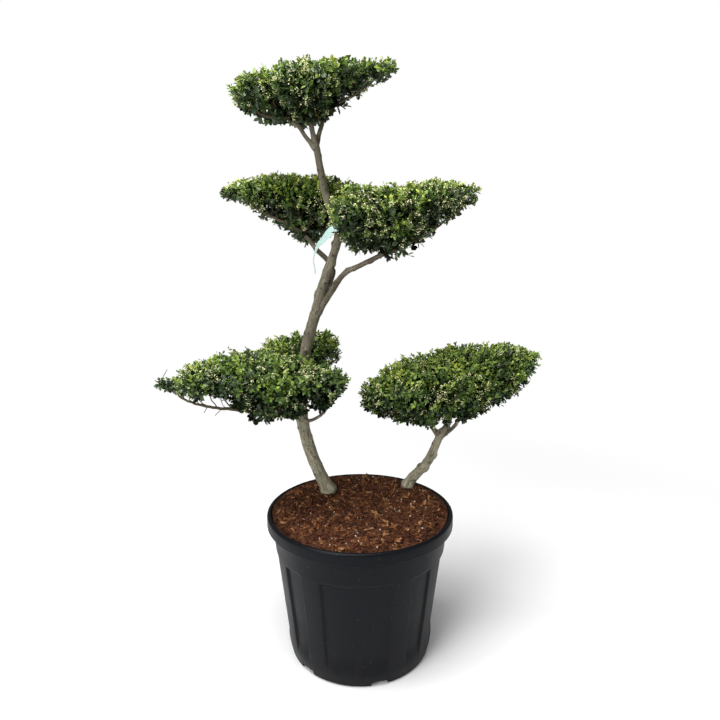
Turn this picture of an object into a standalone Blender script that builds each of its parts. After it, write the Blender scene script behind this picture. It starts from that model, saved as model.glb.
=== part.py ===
"""A potted japanese holly, clipped into seven clouds on two leaning stems.

Metres, +Z up. The origin is the centre of the pot's flat underside, and the
front of the plant faces -Y. The pot is filled with bark, both stems stand on
it, and every cloud is twigs and leaves that grow by one rule out of a core.
"""
import itertools
import math
import random
from collections import namedtuple

import bmesh
import bpy
import numpy as np
from mathutils import Vector

Limb = namedtuple("Limb", "name parent guides radii sides")
Lobe = namedtuple("Lobe", "x y z width depth rise drop")
Cloud = namedtuple("Cloud", "bough limb lobes")

# Clear space between pieces that touch on the real plant
GAP = 0.0003
SEED = 7

# Pot: heights from the underside, radii from the axis
RIM_HEIGHT = 0.387
RIM_RADIUS = 0.246
RIM_INNER_RADIUS = 0.236
RIM_BAND = 0.031
RIM_ROUND = 0.006
RIM_LIP = 0.011
RIM_LIP_STEP = 0.006
WALL_TOP_RADIUS = 0.232
WALL_FOOT_RADIUS = 0.194
WALL_FOOT_HEIGHT = 0.030
BASE_RADIUS = 0.184
BASE_ROUND = 0.004
FLOOR = 0.005
INNER_FOOT_RADIUS = 0.181
INNER_SHOULDER_RADIUS = 0.2205
INNER_SHOULDER_HEIGHT = 0.340
PANEL_DEPTH = 0.006
PANEL_TOP = 0.293
PANEL_TOP_SLOPE = 0.008
PANEL_FADE_TOP = 0.080
PANEL_FADE_FOOT = 0.045
WIDE_PANEL = math.radians(45.0)
NARROW_PANEL = math.radians(15.0)
PANEL_EDGE = math.radians(0.75)
PANEL_FACET = math.radians(7.5)
PANEL_TURN = math.radians(-2.4)
PANEL_GROUPS = 4
NOTCH_COUNT = 6
NOTCH_TURN = math.radians(15.0)
NOTCH_HALF_ANGLE = math.radians(8.5)
NOTCH_TOP_HALF_ANGLE = math.radians(6.5)
NOTCH_HEIGHT = 0.015
NOTCH_DEPTH = 0.010

# Growing medium: a low mound with a level crown
SOIL_TOP = 0.393
SOIL_CROWN_RADIUS = 0.208
SOIL_SHOULDER = (0.216, 0.386)
SOIL_EDGE_HEIGHT = 0.375
FOOT = SOIL_TOP + GAP

# Stems and boughs: guide points along the middle line, and a radius at each
LIMBS = [
    Limb("main_stem", None,
         [(-0.088, 0.095, FOOT), (-0.100, 0.0945, 0.418), (-0.133, 0.090, 0.499),
          (-0.158, 0.080, 0.607), (-0.160, 0.065, 0.695), (-0.144, 0.050, 0.802),
          (-0.114, 0.035, 0.908), (-0.087, 0.020, 1.000), (-0.056, 0.020, 1.089),
          (-0.051, 0.020, 1.123), (-0.080, 0.020, 1.183), (-0.096, 0.005, 1.258),
          (-0.107, 0.000, 1.322)],
         [0.0245, 0.0182, 0.0170, 0.0166, 0.0158, 0.0146, 0.0138,
          0.0112, 0.0101, 0.0100, 0.0097, 0.0084, 0.0075], 9),
    Limb("side_stem", None,
         [(0.136, 0.132, FOOT), (0.147, 0.133, 0.412), (0.188, 0.130, 0.458),
          (0.214, 0.120, 0.516), (0.228, 0.110, 0.563)],
         [0.0190, 0.0150, 0.0128, 0.0116, 0.0106], 9),
    Limb("bough_middle_right", "main_stem",
         [(-0.112, 0.033, 0.904), (-0.092, 0.025, 0.932), (-0.070, 0.010, 0.964),
          (-0.035, -0.020, 1.010), (0.000, -0.040, 1.027), (0.056, -0.070, 1.054)],
         [0.0080, 0.0078, 0.0074, 0.0068, 0.0062, 0.0055], 6),
    Limb("bough_middle_left", "main_stem",
         [(-0.096, 0.030, 0.953), (-0.079, 0.045, 0.982), (-0.071, 0.056, 1.010),
          (-0.076, 0.064, 1.028), (-0.112, 0.080, 1.066), (-0.143, 0.093, 1.104)],
         [0.0076, 0.0074, 0.0070, 0.0067, 0.0062, 0.0056], 6),
    Limb("bough_lower_left", "main_stem",
         [(-0.157, 0.077, 0.620), (-0.192, 0.055, 0.626), (-0.239, 0.030, 0.640),
          (-0.262, 0.020, 0.646)],
         [0.0090, 0.0080, 0.0070, 0.0066], 6),
    Limb("bough_lower_front", "main_stem",
         [(-0.160, 0.072, 0.652), (-0.163, 0.047, 0.668), (-0.168, 0.024, 0.685)],
         [0.0080, 0.0070, 0.0062], 6),
    Limb("bough_lower_back", "main_stem",
         [(-0.160, 0.068, 0.662), (-0.166, 0.100, 0.678), (-0.172, 0.128, 0.702)],
         [0.0080, 0.0070, 0.0062], 6),
    Limb("bough_lower_right", "main_stem",
         [(-0.157, 0.079, 0.612), (-0.138, 0.052, 0.613), (-0.112, 0.030, 0.629),
          (-0.074, -0.004, 0.676)],
         [0.0048, 0.0044, 0.0040, 0.0036], 6),
    Limb("bough_top_centre", "main_stem",
         [(-0.1065, 0.000, 1.316), (-0.112, -0.003, 1.336), (-0.118, -0.008, 1.362)],
         [0.0058, 0.0054, 0.0048], 6),
    Limb("bough_top_left", "main_stem",
         [(-0.106, 0.000, 1.302), (-0.117, 0.001, 1.315), (-0.130, 0.003, 1.330),
          (-0.146, 0.005, 1.353), (-0.166, 0.005, 1.367)],
         [0.0052, 0.0050, 0.0048, 0.0045, 0.0042], 6),
    Limb("bough_top_right", "main_stem",
         [(-0.1065, 0.000, 1.308), (-0.101, 0.005, 1.328), (-0.094, 0.010, 1.352),
          (-0.087, 0.018, 1.380)],
         [0.0054, 0.0052, 0.0049, 0.0045], 6),
    Limb("bough_right_middle", "side_stem",
         [(0.2265, 0.1105, 0.557), (0.241, 0.105, 0.579), (0.251, 0.100, 0.612)],
         [0.0088, 0.0082, 0.0075], 6),
    Limb("bough_right_left", "side_stem",
         [(0.225, 0.1115, 0.551), (0.206, 0.115, 0.573), (0.189, 0.119, 0.600)],
         [0.0068, 0.0062, 0.0056], 6),
    Limb("bough_right_right", "side_stem",
         [(0.226, 0.1115, 0.549), (0.252, 0.098, 0.572), (0.277, 0.082, 0.612)],
         [0.0054, 0.0050, 0.0045], 6),
]
LIMB_STEP = 0.042
BOUGH_STEP = 0.020
SAMPLE_STEP = 0.006
FLARE_LOBES = 5
FLARE_WAVE = 0.10
FLARE_LENGTH = 0.030
SHARP_ANGLE = math.radians(35.0)

# Clouds: each lobe is a domed pad round its widest level
CLOUDS = {
    "cloud_top": Cloud("bough_top_centre", [], [
        Lobe(-0.120, -0.010, 1.425, 0.111, 0.146, 0.080, 0.084),
        Lobe(-0.218, 0.010, 1.423, 0.118, 0.128, 0.068, 0.080),
        Lobe(-0.030, 0.010, 1.450, 0.101, 0.121, 0.056, 0.054),
        Lobe(0.036, 0.000, 1.471, 0.062, 0.081, 0.036, 0.034)]),
    "cloud_middle_left": Cloud("bough_middle_left", [], [
        Lobe(-0.138, 0.130, 1.203, 0.123, 0.116, 0.070, 0.122),
        Lobe(-0.245, 0.115, 1.213, 0.121, 0.101, 0.056, 0.092),
        Lobe(-0.330, 0.110, 1.223, 0.046, 0.049, 0.028, 0.034),
        Lobe(-0.050, 0.120, 1.193, 0.081, 0.091, 0.058, 0.078)]),
    "cloud_middle_right": Cloud("bough_middle_right", [], [
        Lobe(0.088, -0.080, 1.155, 0.116, 0.111, 0.070, 0.124),
        Lobe(0.185, -0.070, 1.170, 0.101, 0.096, 0.056, 0.076),
        Lobe(0.245, -0.060, 1.190, 0.049, 0.054, 0.026, 0.039),
        Lobe(0.008, -0.065, 1.158, 0.096, 0.078, 0.060, 0.112)]),
    "cloud_lower_left": Cloud("bough_lower_left", [
        (-0.282, 0.010, 0.651), (-0.350, -0.010, 0.665), (-0.416, -0.030, 0.678),
        (-0.455, -0.038, 0.694)], [
        Lobe(-0.262, -0.060, 0.745, 0.070, 0.116, 0.080, 0.100),
        Lobe(-0.330, -0.050, 0.740, 0.096, 0.116, 0.084, 0.054),
        Lobe(-0.415, -0.040, 0.732, 0.081, 0.086, 0.058, 0.042),
        Lobe(-0.491, -0.035, 0.728, 0.036, 0.038, 0.026, 0.030)]),
    "cloud_lower_front": Cloud("bough_lower_front", [], [
        Lobe(-0.174, -0.050, 0.730, 0.084, 0.104, 0.088, 0.102),
        Lobe(-0.105, -0.040, 0.736, 0.082, 0.096, 0.070, 0.096)]),
    "cloud_lower_back": Cloud("bough_lower_back", [], [
        Lobe(-0.180, 0.185, 0.760, 0.106, 0.101, 0.088, 0.078),
        Lobe(-0.255, 0.180, 0.753, 0.066, 0.076, 0.064, 0.058),
        Lobe(-0.108, 0.175, 0.770, 0.065, 0.081, 0.084, 0.073)]),
    "cloud_right": Cloud("bough_right_middle", [], [
        Lobe(0.290, 0.090, 0.710, 0.116, 0.141, 0.120, 0.113),
        Lobe(0.180, 0.090, 0.690, 0.116, 0.141, 0.112, 0.122),
        Lobe(0.080, 0.090, 0.672, 0.108, 0.106, 0.076, 0.084),
        Lobe(0.388, 0.090, 0.742, 0.080, 0.106, 0.092, 0.080),
        Lobe(0.463, 0.080, 0.782, 0.034, 0.044, 0.024, 0.029)]),
}
DOME_POWER = 2.4
UNDERSIDE_POWER = 1.5
BLEND = 6.0
RAY_REACH = 0.30
RAY_HALVINGS = 14

# Growth rule
CORE_LEVEL = 0.74
CORE_RINGS = 11
CORE_SIDES = 12
CORE_SHARE = 0.10
CORE_MARGIN = 0.25
CORE_CLEARANCE = 0.024
LIMB_CLEARANCE = 0.006
TWIG_CLEARANCE = 0.002
CLOUD_MARGIN = 0.10
SHOOTS_PER_AREA = 80.0
SHOOTS_PER_LOBE = 3
SHOOT_LEVEL = 0.86
LEVEL_SPREAD = (0.96, 1.03)
FIRST_STRETCH = 0.020
PATH_COST = 0.5
TWIG_STEP = 0.040
TWIG_BOW = 0.30
TWIG_WANDER = 0.03
STEM_SHARE = 0.92
STEM_SIDES = 6
TWIG_TIP_RADIUS = 0.0019
TWIG_POWER = 2.3
TWIG_SIDES = 3
GOLDEN_ANGLE = math.pi * (3.0 - math.sqrt(5.0))
LEAVES_PER_SHOOT = 3
LEAF_LENGTH = 0.046
LEAF_WIDTH = 0.52
LEAF_THICKNESS = 0.030
LEAF_SINK = 0.003
LEAF_SPACING = 0.005
LEAF_LEAN = 0.80
LEAF_LEAN_STEP = 0.16
LEAF_SHRINK = 0.98
END_LEAF_LEAN = 0.15
END_LEAF_SHRINK = 0.84
LEAF_LIMIT = 1.02
LEAF_TRIES = 6

# Blank label strip that hangs from the main stem
STRIP_GUIDES = [(-0.043, 0.0090, 1.127), (-0.064, 0.0085, 1.116), (-0.090, 0.022, 1.092),
                (-0.109, 0.032, 1.070), (-0.117, 0.036, 1.040), (-0.113, 0.039, 1.005)]
STRIP_WIDTH = 0.018
STRIP_THICKNESS = 0.0006
STRIP_TWIST = math.radians(80.0)
STRIP_TWIST_RATE = 1.4
STRIP_STEP = 0.009


def material(name, colour, roughness):
    """A plain Principled material in one colour."""
    made = bpy.data.materials.new(name)
    made.use_nodes = True
    made.diffuse_color = (*colour, 1.0)
    shader = made.node_tree.nodes["Principled BSDF"]
    shader.inputs["Base Color"].default_value = (*colour, 1.0)
    shader.inputs["Roughness"].default_value = roughness
    shader.inputs["Metallic"].default_value = 0.0
    return made


def new_object(name, verts, faces, finish=None):
    """An object whose faces all point outwards."""
    mesh = bpy.data.meshes.new(name)
    mesh.from_pydata([tuple(v) for v in verts], [], faces)
    work = bmesh.new()
    work.from_mesh(mesh)
    bmesh.ops.recalc_face_normals(work, faces=work.faces)
    work.to_mesh(mesh)
    work.free()
    if finish:
        mesh.materials.append(finish)
    made = bpy.data.objects.new(name, mesh)
    bpy.context.scene.collection.objects.link(made)
    return made


def remove_object(item):
    """Takes an object and its mesh out of the file."""
    mesh = item.data
    bpy.data.objects.remove(item)
    bpy.data.meshes.remove(mesh)


def triangulate(mesh):
    """Splits every face into flat triangles."""
    work = bmesh.new()
    work.from_mesh(mesh)
    bmesh.ops.triangulate(work, faces=work.faces)
    work.to_mesh(mesh)
    work.free()


def keep_largest_body(mesh):
    """Drops loose scraps and sealed hollows, and leaves one triangulated body."""
    work = bmesh.new()
    work.from_mesh(mesh)
    bmesh.ops.triangulate(work, faces=work.faces)
    unseen = set(work.verts)
    bodies = []
    while unseen:
        body = set()
        front = [unseen.pop()]
        while front:
            vert = front.pop()
            body.add(vert)
            for edge in vert.link_edges:
                other = edge.other_vert(vert)
                if other in unseen:
                    unseen.discard(other)
                    front.append(other)
        bodies.append(body)

    def volume(body):
        faces = {face for vert in body for face in vert.link_faces}
        return sum(face.calc_area() * face.normal.dot(face.verts[0].co) for face in faces)

    bodies.sort(key=volume)
    loose = [vert for body in bodies[:-1] for vert in body]
    bmesh.ops.delete(work, geom=loose, context="VERTS")
    work.to_mesh(mesh)
    work.free()


def boolean(target, others, operation):
    """Joins or cuts the target with the others, then removes them."""
    group = bpy.data.collections.new("operands")
    for item in (target, *others):
        triangulate(item.data)
    for item in others:
        bpy.context.scene.collection.objects.unlink(item)
        group.objects.link(item)
    bpy.context.scene.collection.children.link(group)
    step = target.modifiers.new("Boolean", "BOOLEAN")
    step.operation = operation
    step.solver = "EXACT"
    step.operand_type = "COLLECTION"
    step.collection = group
    evaluated = target.evaluated_get(bpy.context.evaluated_depsgraph_get())
    result = bpy.data.meshes.new_from_object(evaluated)
    target.modifiers.clear()
    old = target.data
    result.name = target.name
    target.data = result
    bpy.data.meshes.remove(old)
    for item in others:
        remove_object(item)
    bpy.data.collections.remove(group)
    keep_largest_body(target.data)


def lathe(rings, angles):
    """Verts and faces of a body turned from rings of (radius at each angle, height)."""
    count = len(angles)
    verts = []
    for radii, height in rings:
        for angle, radius in zip(angles, radii):
            verts.append((radius * math.sin(angle), -radius * math.cos(angle), height))
    faces = []
    for ring in range(len(rings) - 1):
        for i in range(count):
            j = (i + 1) % count
            low = ring * count
            faces.append((low + i, low + j, low + count + j, low + count + i))
    for ring in (0, len(rings) - 1):
        hub = len(verts)
        verts.append((0.0, 0.0, rings[ring][1]))
        faces += [(hub, ring * count + i, ring * count + (i + 1) % count) for i in range(count)]
    return verts, faces


def panel_pattern():
    """Angles round the pot, and how deep in a panel each one lies (0 or 1)."""
    group = math.tau / PANEL_GROUPS
    pattern = []
    for index in range(PANEL_GROUPS):
        for centre, width in ((0.0, WIDE_PANEL), (group / 2.0, NARROW_PANEL)):
            middle = index * group + centre + PANEL_TURN
            edge = width / 2.0
            inner = edge - PANEL_EDGE
            steps = max(2, round(width / PANEL_FACET))
            pattern.append((middle - edge - PANEL_EDGE, 0.0))
            for i in range(steps + 1):
                pattern.append((middle - inner + 2.0 * inner * i / steps, 1.0))
            pattern.append((middle + edge + PANEL_EDGE, 0.0))
        rib = group / 4.0 + (WIDE_PANEL - NARROW_PANEL) / 4.0
        pattern.append((index * group + PANEL_TURN + rib, 0.0))
        pattern.append((index * group + PANEL_TURN - rib, 0.0))
    pattern.sort()
    return [angle for angle, _ in pattern], [depth for _, depth in pattern]


def inner_radius(height):
    """Radius of the pot's inner wall at a height."""
    lip = RIM_HEIGHT - RIM_LIP
    if height <= INNER_SHOULDER_HEIGHT:
        share = (height - FLOOR) / (INNER_SHOULDER_HEIGHT - FLOOR)
        return INNER_FOOT_RADIUS + share * (INNER_SHOULDER_RADIUS - INNER_FOOT_RADIUS)
    share = (height - INNER_SHOULDER_HEIGHT) / (lip - INNER_SHOULDER_HEIGHT)
    return INNER_SHOULDER_RADIUS + share * (RIM_INNER_RADIUS - RIM_LIP_STEP - INNER_SHOULDER_RADIUS)


def build_pot(finish):
    """The tapered pot with its recessed panels, rolled rim and drain notches."""
    angles, depths = panel_pattern()
    band_foot = RIM_HEIGHT - RIM_BAND
    slope = (WALL_TOP_RADIUS - WALL_FOOT_RADIUS) / (band_foot - WALL_FOOT_HEIGHT)

    def wall(height, depth):
        radius = WALL_FOOT_RADIUS + slope * (height - WALL_FOOT_HEIGHT)
        return [radius - depth * PANEL_DEPTH * d for d in depths], height

    def plain(radius, height):
        return [radius] * len(angles), height

    rings = [
        plain(BASE_RADIUS, 0.0),
        plain(BASE_RADIUS + BASE_ROUND, BASE_ROUND),
        wall(WALL_FOOT_HEIGHT, 0.0),
        wall(PANEL_FADE_FOOT, 0.25),
        wall(PANEL_FADE_TOP, 1.0),
        wall(PANEL_TOP - PANEL_TOP_SLOPE, 1.0),
        wall(PANEL_TOP, 0.0),
        wall(band_foot, 0.0),
        plain(RIM_RADIUS, band_foot),
        plain(RIM_RADIUS, RIM_HEIGHT - RIM_ROUND),
        plain(RIM_RADIUS - RIM_ROUND * 0.3, RIM_HEIGHT - RIM_ROUND * 0.3),
        plain(RIM_RADIUS - RIM_ROUND, RIM_HEIGHT),
        plain(RIM_INNER_RADIUS, RIM_HEIGHT),
        plain(inner_radius(RIM_HEIGHT - RIM_LIP), RIM_HEIGHT - RIM_LIP),
        plain(INNER_SHOULDER_RADIUS, INNER_SHOULDER_HEIGHT),
        plain(INNER_FOOT_RADIUS, FLOOR),
    ]
    pot = new_object("pot", *lathe(rings, angles), finish)
    cutters = [drain_notch(NOTCH_TURN + i * math.tau / NOTCH_COUNT) for i in range(NOTCH_COUNT)]
    boolean(pot, cutters, "DIFFERENCE")
    return pot


def drain_notch(middle):
    """A wedge with slanted sides that opens the foot of the wall."""
    near = BASE_RADIUS - NOTCH_DEPTH
    far = WALL_FOOT_RADIUS + 2.0 * NOTCH_DEPTH
    verts = []
    for half, height in ((NOTCH_HALF_ANGLE, -NOTCH_DEPTH), (NOTCH_TOP_HALF_ANGLE, NOTCH_HEIGHT)):
        for radius, side in ((near, -1), (near, 1), (far, 1), (far, -1)):
            angle = middle + side * half
            verts.append((radius * math.sin(angle), -radius * math.cos(angle), height))
    faces = [(0, 1, 2, 3), (4, 5, 6, 7), (0, 1, 5, 4), (1, 2, 6, 5), (2, 3, 7, 6), (3, 0, 4, 7)]
    return new_object("notch", verts, faces)


def build_soil(finish):
    """The bark that fills the pot, a low mound clear of the wall."""
    angles, _ = panel_pattern()
    count = len(angles)
    foot = FLOOR + GAP
    rings = [
        ([inner_radius(foot) - GAP] * count, foot),
        ([inner_radius(INNER_SHOULDER_HEIGHT) - GAP] * count, INNER_SHOULDER_HEIGHT),
        ([inner_radius(SOIL_EDGE_HEIGHT) - GAP] * count, SOIL_EDGE_HEIGHT),
        ([SOIL_SHOULDER[0]] * count, SOIL_SHOULDER[1]),
        ([SOIL_CROWN_RADIUS] * count, SOIL_TOP),
    ]
    return new_object("soil", *lathe(rings, angles), finish)


def smooth_path(guides, radii, step):
    """Points and radii read along a smooth curve through the guides."""
    guides = [Vector(p) for p in guides]
    count = len(guides)
    spans = [(guides[i + 1] - guides[i]).length for i in range(count - 1)]
    slopes = []
    for i in range(count):
        if i in (0, count - 1):
            near = min(i, count - 2)
            slopes.append((guides[near + 1] - guides[near]) / spans[near])
            continue
        before = (guides[i] - guides[i - 1]) / spans[i - 1]
        after = (guides[i + 1] - guides[i]) / spans[i]
        slopes.append((before * spans[i] + after * spans[i - 1]) / (spans[i] + spans[i - 1]))
    points = [guides[0]]
    widths = [radii[0]]
    for i in range(count - 1):
        pieces = max(1, round(spans[i] / step))
        for k in range(1, pieces + 1):
            t = k / pieces
            a = guides[i] * (2 * t**3 - 3 * t**2 + 1) + guides[i + 1] * (3 * t**2 - 2 * t**3)
            b = slopes[i] * (t**3 - 2 * t**2 + t) + slopes[i + 1] * (t**3 - t**2)
            points.append(a + b * spans[i])
            widths.append(radii[i] + (radii[i + 1] - radii[i]) * t)
    return points, widths


def directions(points):
    """Unit direction of the path at each of its points."""
    last = len(points) - 1
    return [(points[min(i + 1, last)] - points[max(i - 1, 0)]).normalized()
            for i in range(last + 1)]


def tube(points, radii, sides, level_foot=False, flare=0.0):
    """Verts and faces of a closed tapering tube along a path."""
    ways = directions(points)
    across = ways[0].orthogonal().normalized()
    verts = []
    for i, (point, way, radius) in enumerate(zip(points, ways, radii)):
        across = (across - way * across.dot(way)).normalized()
        up = way.cross(across)
        rise = (point - points[0]).length
        wave = flare * max(0.0, 1.0 - rise / FLARE_LENGTH)
        for k in range(sides):
            angle = math.tau * k / sides
            reach = radius * (1.0 + wave * math.cos(FLARE_LOBES * angle))
            vert = point + across * (reach * math.cos(angle)) + up * (reach * math.sin(angle))
            if level_foot and i == 0:
                vert.z = point.z
            verts.append(vert)
    faces = []
    for i in range(len(points) - 1):
        for k in range(sides):
            low = i * sides + k
            side = i * sides + (k + 1) % sides
            faces.append((low, side, side + sides, low + sides))
    faces.append(tuple(range(sides)))
    faces.append(tuple(range((len(points) - 1) * sides, len(points) * sides)))
    return verts, faces


def limb_path(limb):
    """Points and radii of a stem or a bough."""
    step = LIMB_STEP if limb.parent is None else BOUGH_STEP
    return smooth_path(limb.guides, limb.radii, step)


def limb_cutter(limb):
    """The limb's shape grown by the gap, to cut the root of the next one."""
    points, radii = limb_path(limb)
    ways = directions(points)
    points[0] = points[0] - ways[0] * GAP
    points[-1] = points[-1] + ways[-1] * GAP
    flare = FLARE_WAVE if limb.parent is None else 0.0
    verts, faces = tube(points, [r + GAP for r in radii], limb.sides, False, flare)
    return new_object("cutter", verts, faces)


def build_limbs(finishes):
    """Both stems and every bough, each cut clear of those before it."""
    built = []
    for limb in LIMBS:
        points, radii = limb_path(limb)
        stem = limb.parent is None
        shape = tube(points, radii, limb.sides, stem, FLARE_WAVE if stem else 0.0)
        made = new_object(limb.name, *shape, finishes["stem" if stem else "bough"])
        near = [other for other in built if other.name == limb.parent or
                (other.parent is not None and other.parent == limb.parent)]
        if near:
            boolean(made, [limb_cutter(other) for other in near], "DIFFERENCE")
        built.append(limb)


def limb_samples():
    """Closely spaced points on every limb, each with the limb's radius there."""
    rows = []
    for limb in LIMBS:
        points, radii = smooth_path(limb.guides, limb.radii, SAMPLE_STEP)
        rows += [(*point, radius) for point, radius in zip(points, radii)]
    points, _ = smooth_path(STRIP_GUIDES, [0.0] * len(STRIP_GUIDES), SAMPLE_STEP)
    rows += [(*point, STRIP_WIDTH * 0.5) for point in points]
    return np.array(rows)


def lobe_value(lobe, x, y, z):
    """0 at the middle of a lobe, 1 on its surface."""
    across = math.hypot((x - lobe.x) / lobe.width, (y - lobe.y) / lobe.depth)
    if z > lobe.z:
        power, level = DOME_POWER, (z - lobe.z) / lobe.rise
    else:
        power, level = UNDERSIDE_POWER, (lobe.z - z) / lobe.drop
    return (across**power + level**power) ** (1.0 / power)


def cloud_value(name, point):
    """The cloud's lobes blended: 0 at a middle, 1 on the common surface."""
    held = sum(max(lobe_value(lobe, *point), 0.05)**-BLEND for lobe in CLOUDS[name].lobes)
    return held ** (-1.0 / BLEND)


def is_free(name, point, samples, limit=1.0, clearance=LIMB_CLEARANCE, margin=CLOUD_MARGIN):
    """True where a point is in the cloud's own space and clear of every limb."""
    own = cloud_value(name, point)
    if own > limit:
        return False
    for other in CLOUDS:
        if other != name and cloud_value(other, point) < own + margin:
            return False
    apart = np.linalg.norm(samples[:, :3] - np.array(point), axis=1) - samples[:, 3]
    return float(apart.min()) > clearance


def runs_clear(line, sizes, samples):
    """True where a twig keeps its clearance from every limb along its length."""
    for start, end, size in zip(line, line[1:], sizes):
        for k in range(7):
            point = np.array(start.lerp(end, k / 6))
            apart = np.linalg.norm(samples[:, :3] - point, axis=1) - samples[:, 3]
            if float(apart.min()) < size + TWIG_CLEARANCE:
                return False
    return True


def spiral_directions(count):
    """Unit directions spread evenly over a ball, top first."""
    for i in range(count):
        rise = 1.0 - 2.0 * (i + 0.5) / count
        reach = math.sqrt(1.0 - rise * rise)
        turn = GOLDEN_ANGLE * i
        yield Vector((reach * math.cos(turn), reach * math.sin(turn), rise))


def surface_point(name, start, way, level):
    """Where a ray from inside the cloud reaches a level of its value."""
    near, far = 0.0, RAY_REACH
    for _ in range(RAY_HALVINGS):
        middle = (near + far) / 2.0
        if cloud_value(name, start + way * middle) < level:
            near = middle
        else:
            far = middle
    return start + way * near


def core_axis(lobes, x):
    """The middle of the cloud at a distance along it, between its lobes' middles."""
    order = sorted(lobes, key=lambda lobe: lobe.x)
    places = [lobe.x for lobe in order]
    y = float(np.interp(x, places, [lobe.y for lobe in order]))
    z = float(np.interp(x, places, [lobe.z for lobe in order]))
    return Vector((x, y, z))


def pulled_in(name, start, goal, samples):
    """The goal, drawn back towards the start until limbs and other clouds are clear."""
    share = 1.0
    place = goal
    while share > CORE_SHARE and not is_free(name, place, samples, 1.0,
                                             CORE_CLEARANCE, CORE_MARGIN):
        share -= 0.05
        place = start.lerp(goal, share)
    return place


def build_core(name, samples, rng):
    """The smooth body in the middle of a cloud, pulled clear of the limbs."""
    lobes = CLOUDS[name].lobes
    first = min(lobes, key=lambda lobe: lobe.x)
    last = max(lobes, key=lambda lobe: lobe.x)
    ends = []
    for lobe, side in ((first, -1.0), (last, 1.0)):
        way = Vector((side, 0.0, 0.0))
        start = Vector((lobe.x, lobe.y, lobe.z))
        goal = surface_point(name, start, way, CORE_LEVEL)
        ends.append(pulled_in(name, start, goal, samples))
    middle = (ends[0].x + ends[1].x) / 2.0
    half = (ends[1].x - ends[0].x) / 2.0
    verts = []
    for i in range(1, CORE_RINGS):
        axis = core_axis(lobes, middle - half * math.cos(math.pi * i / CORE_RINGS))
        for k in range(CORE_SIDES):
            angle = math.tau * (k + 0.5 * (i % 2)) / CORE_SIDES
            way = Vector((0.0, math.cos(angle), math.sin(angle)))
            goal = surface_point(name, axis, way, CORE_LEVEL * rng.uniform(*LEVEL_SPREAD))
            verts.append(pulled_in(name, axis, goal, samples))
    faces = []
    for i in range(CORE_RINGS - 2):
        for k in range(CORE_SIDES):
            low = i * CORE_SIDES + k
            side = i * CORE_SIDES + (k + 1) % CORE_SIDES
            faces.append((low, side, side + CORE_SIDES, low + CORE_SIDES))
    for end, ring in ((ends[0], 0), (ends[1], CORE_RINGS - 2)):
        apex = len(verts)
        verts.append(end)
        start = ring * CORE_SIDES
        faces += [(apex, start + k, start + (k + 1) % CORE_SIDES) for k in range(CORE_SIDES)]
    return new_object("core", verts, faces)


def shoot_tips(name, samples, rng):
    """Where the shoots end: just under the surface, evenly over every lobe."""
    tips = []
    for lobe in CLOUDS[name].lobes:
        area = lobe.width * lobe.depth * 2.0 + (lobe.width + lobe.depth) * (lobe.rise + lobe.drop)
        count = SHOOTS_PER_LOBE + round(SHOOTS_PER_AREA * area)
        middle = Vector((lobe.x, lobe.y, lobe.z))
        for spread in spiral_directions(count):
            way = Vector((spread.x * lobe.width, spread.y * lobe.depth,
                          spread.z * (lobe.rise if spread.z > 0.0 else lobe.drop)))
            level = SHOOT_LEVEL * rng.uniform(*LEVEL_SPREAD)
            tip = surface_point(name, middle, way.normalized(), level)
            nearest = min(CLOUDS[name].lobes, key=lambda other: lobe_value(other, *tip))
            if nearest is lobe and is_free(name, tip, samples):
                tips.append(tip)
    return tips


def grow_tree(name, foot, heading, samples, rng):
    """Twig points with their parents: each tip joins where its path is shortest."""
    points = [foot, foot + heading * FIRST_STRETCH]
    parents = [-1, 0]
    lengths = [0.0, FIRST_STRETCH]

    def reach_for(goal, step):
        near = min(range(1, len(points)),
                   key=lambda i: (goal - points[i]).length + PATH_COST * lengths[i])
        start = points[near]
        before = points[parents[near]] if parents[near] >= 0 else start - heading
        span = (goal - start).length
        bend = start + (start - before).normalized() * span * TWIG_BOW
        pieces = max(1, round(span / step))
        last = near
        for k in range(1, pieces + 1):
            t = k / pieces
            point = start * (1 - t)**2 + bend * (2 * t * (1 - t)) + goal * t**2
            if k < pieces:
                point = point + Vector([rng.uniform(-TWIG_WANDER, TWIG_WANDER) * span for _ in range(3)])
            lengths.append(lengths[last] + (point - points[last]).length)
            points.append(point)
            parents.append(last)
            last = len(points) - 1
        return last

    for guide in CLOUDS[name].limb:
        reach_for(Vector(guide), TWIG_STEP)
    for lobe in CLOUDS[name].lobes:
        reach_for(Vector((lobe.x, lobe.y, lobe.z)), TWIG_STEP)
    tips = shoot_tips(name, samples, rng)
    tips.sort(key=lambda tip: (tip - foot).length)
    ends = [reach_for(tip, TWIG_STEP) for tip in tips]
    return points, parents, ends


def twig_radii(parents, stem_radius):
    """Radii that carry the sum of their branches, and no more than the stem's."""
    loads = [0.0] * len(parents)
    for i in range(len(parents) - 1, 0, -1):
        if loads[i] == 0.0:
            loads[i] = TWIG_TIP_RADIUS**TWIG_POWER
        loads[parents[i]] += loads[i]
    return [min(load ** (1.0 / TWIG_POWER), stem_radius) for load in loads]


def strands(parents, radii):
    """The tree as runs of points: the thickest branch carries on its parent's run."""
    heirs = {}
    for i in range(1, len(parents)):
        held = heirs.get(parents[i])
        if held is None or radii[i] > radii[held]:
            heirs[parents[i]] = i
    runs = []
    for i in range(1, len(parents)):
        if heirs[parents[i]] == i and parents[i] != 0:
            continue
        run = [parents[i], i]
        while run[-1] in heirs:
            run.append(heirs[run[-1]])
        runs.append(run)
    return runs


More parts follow.
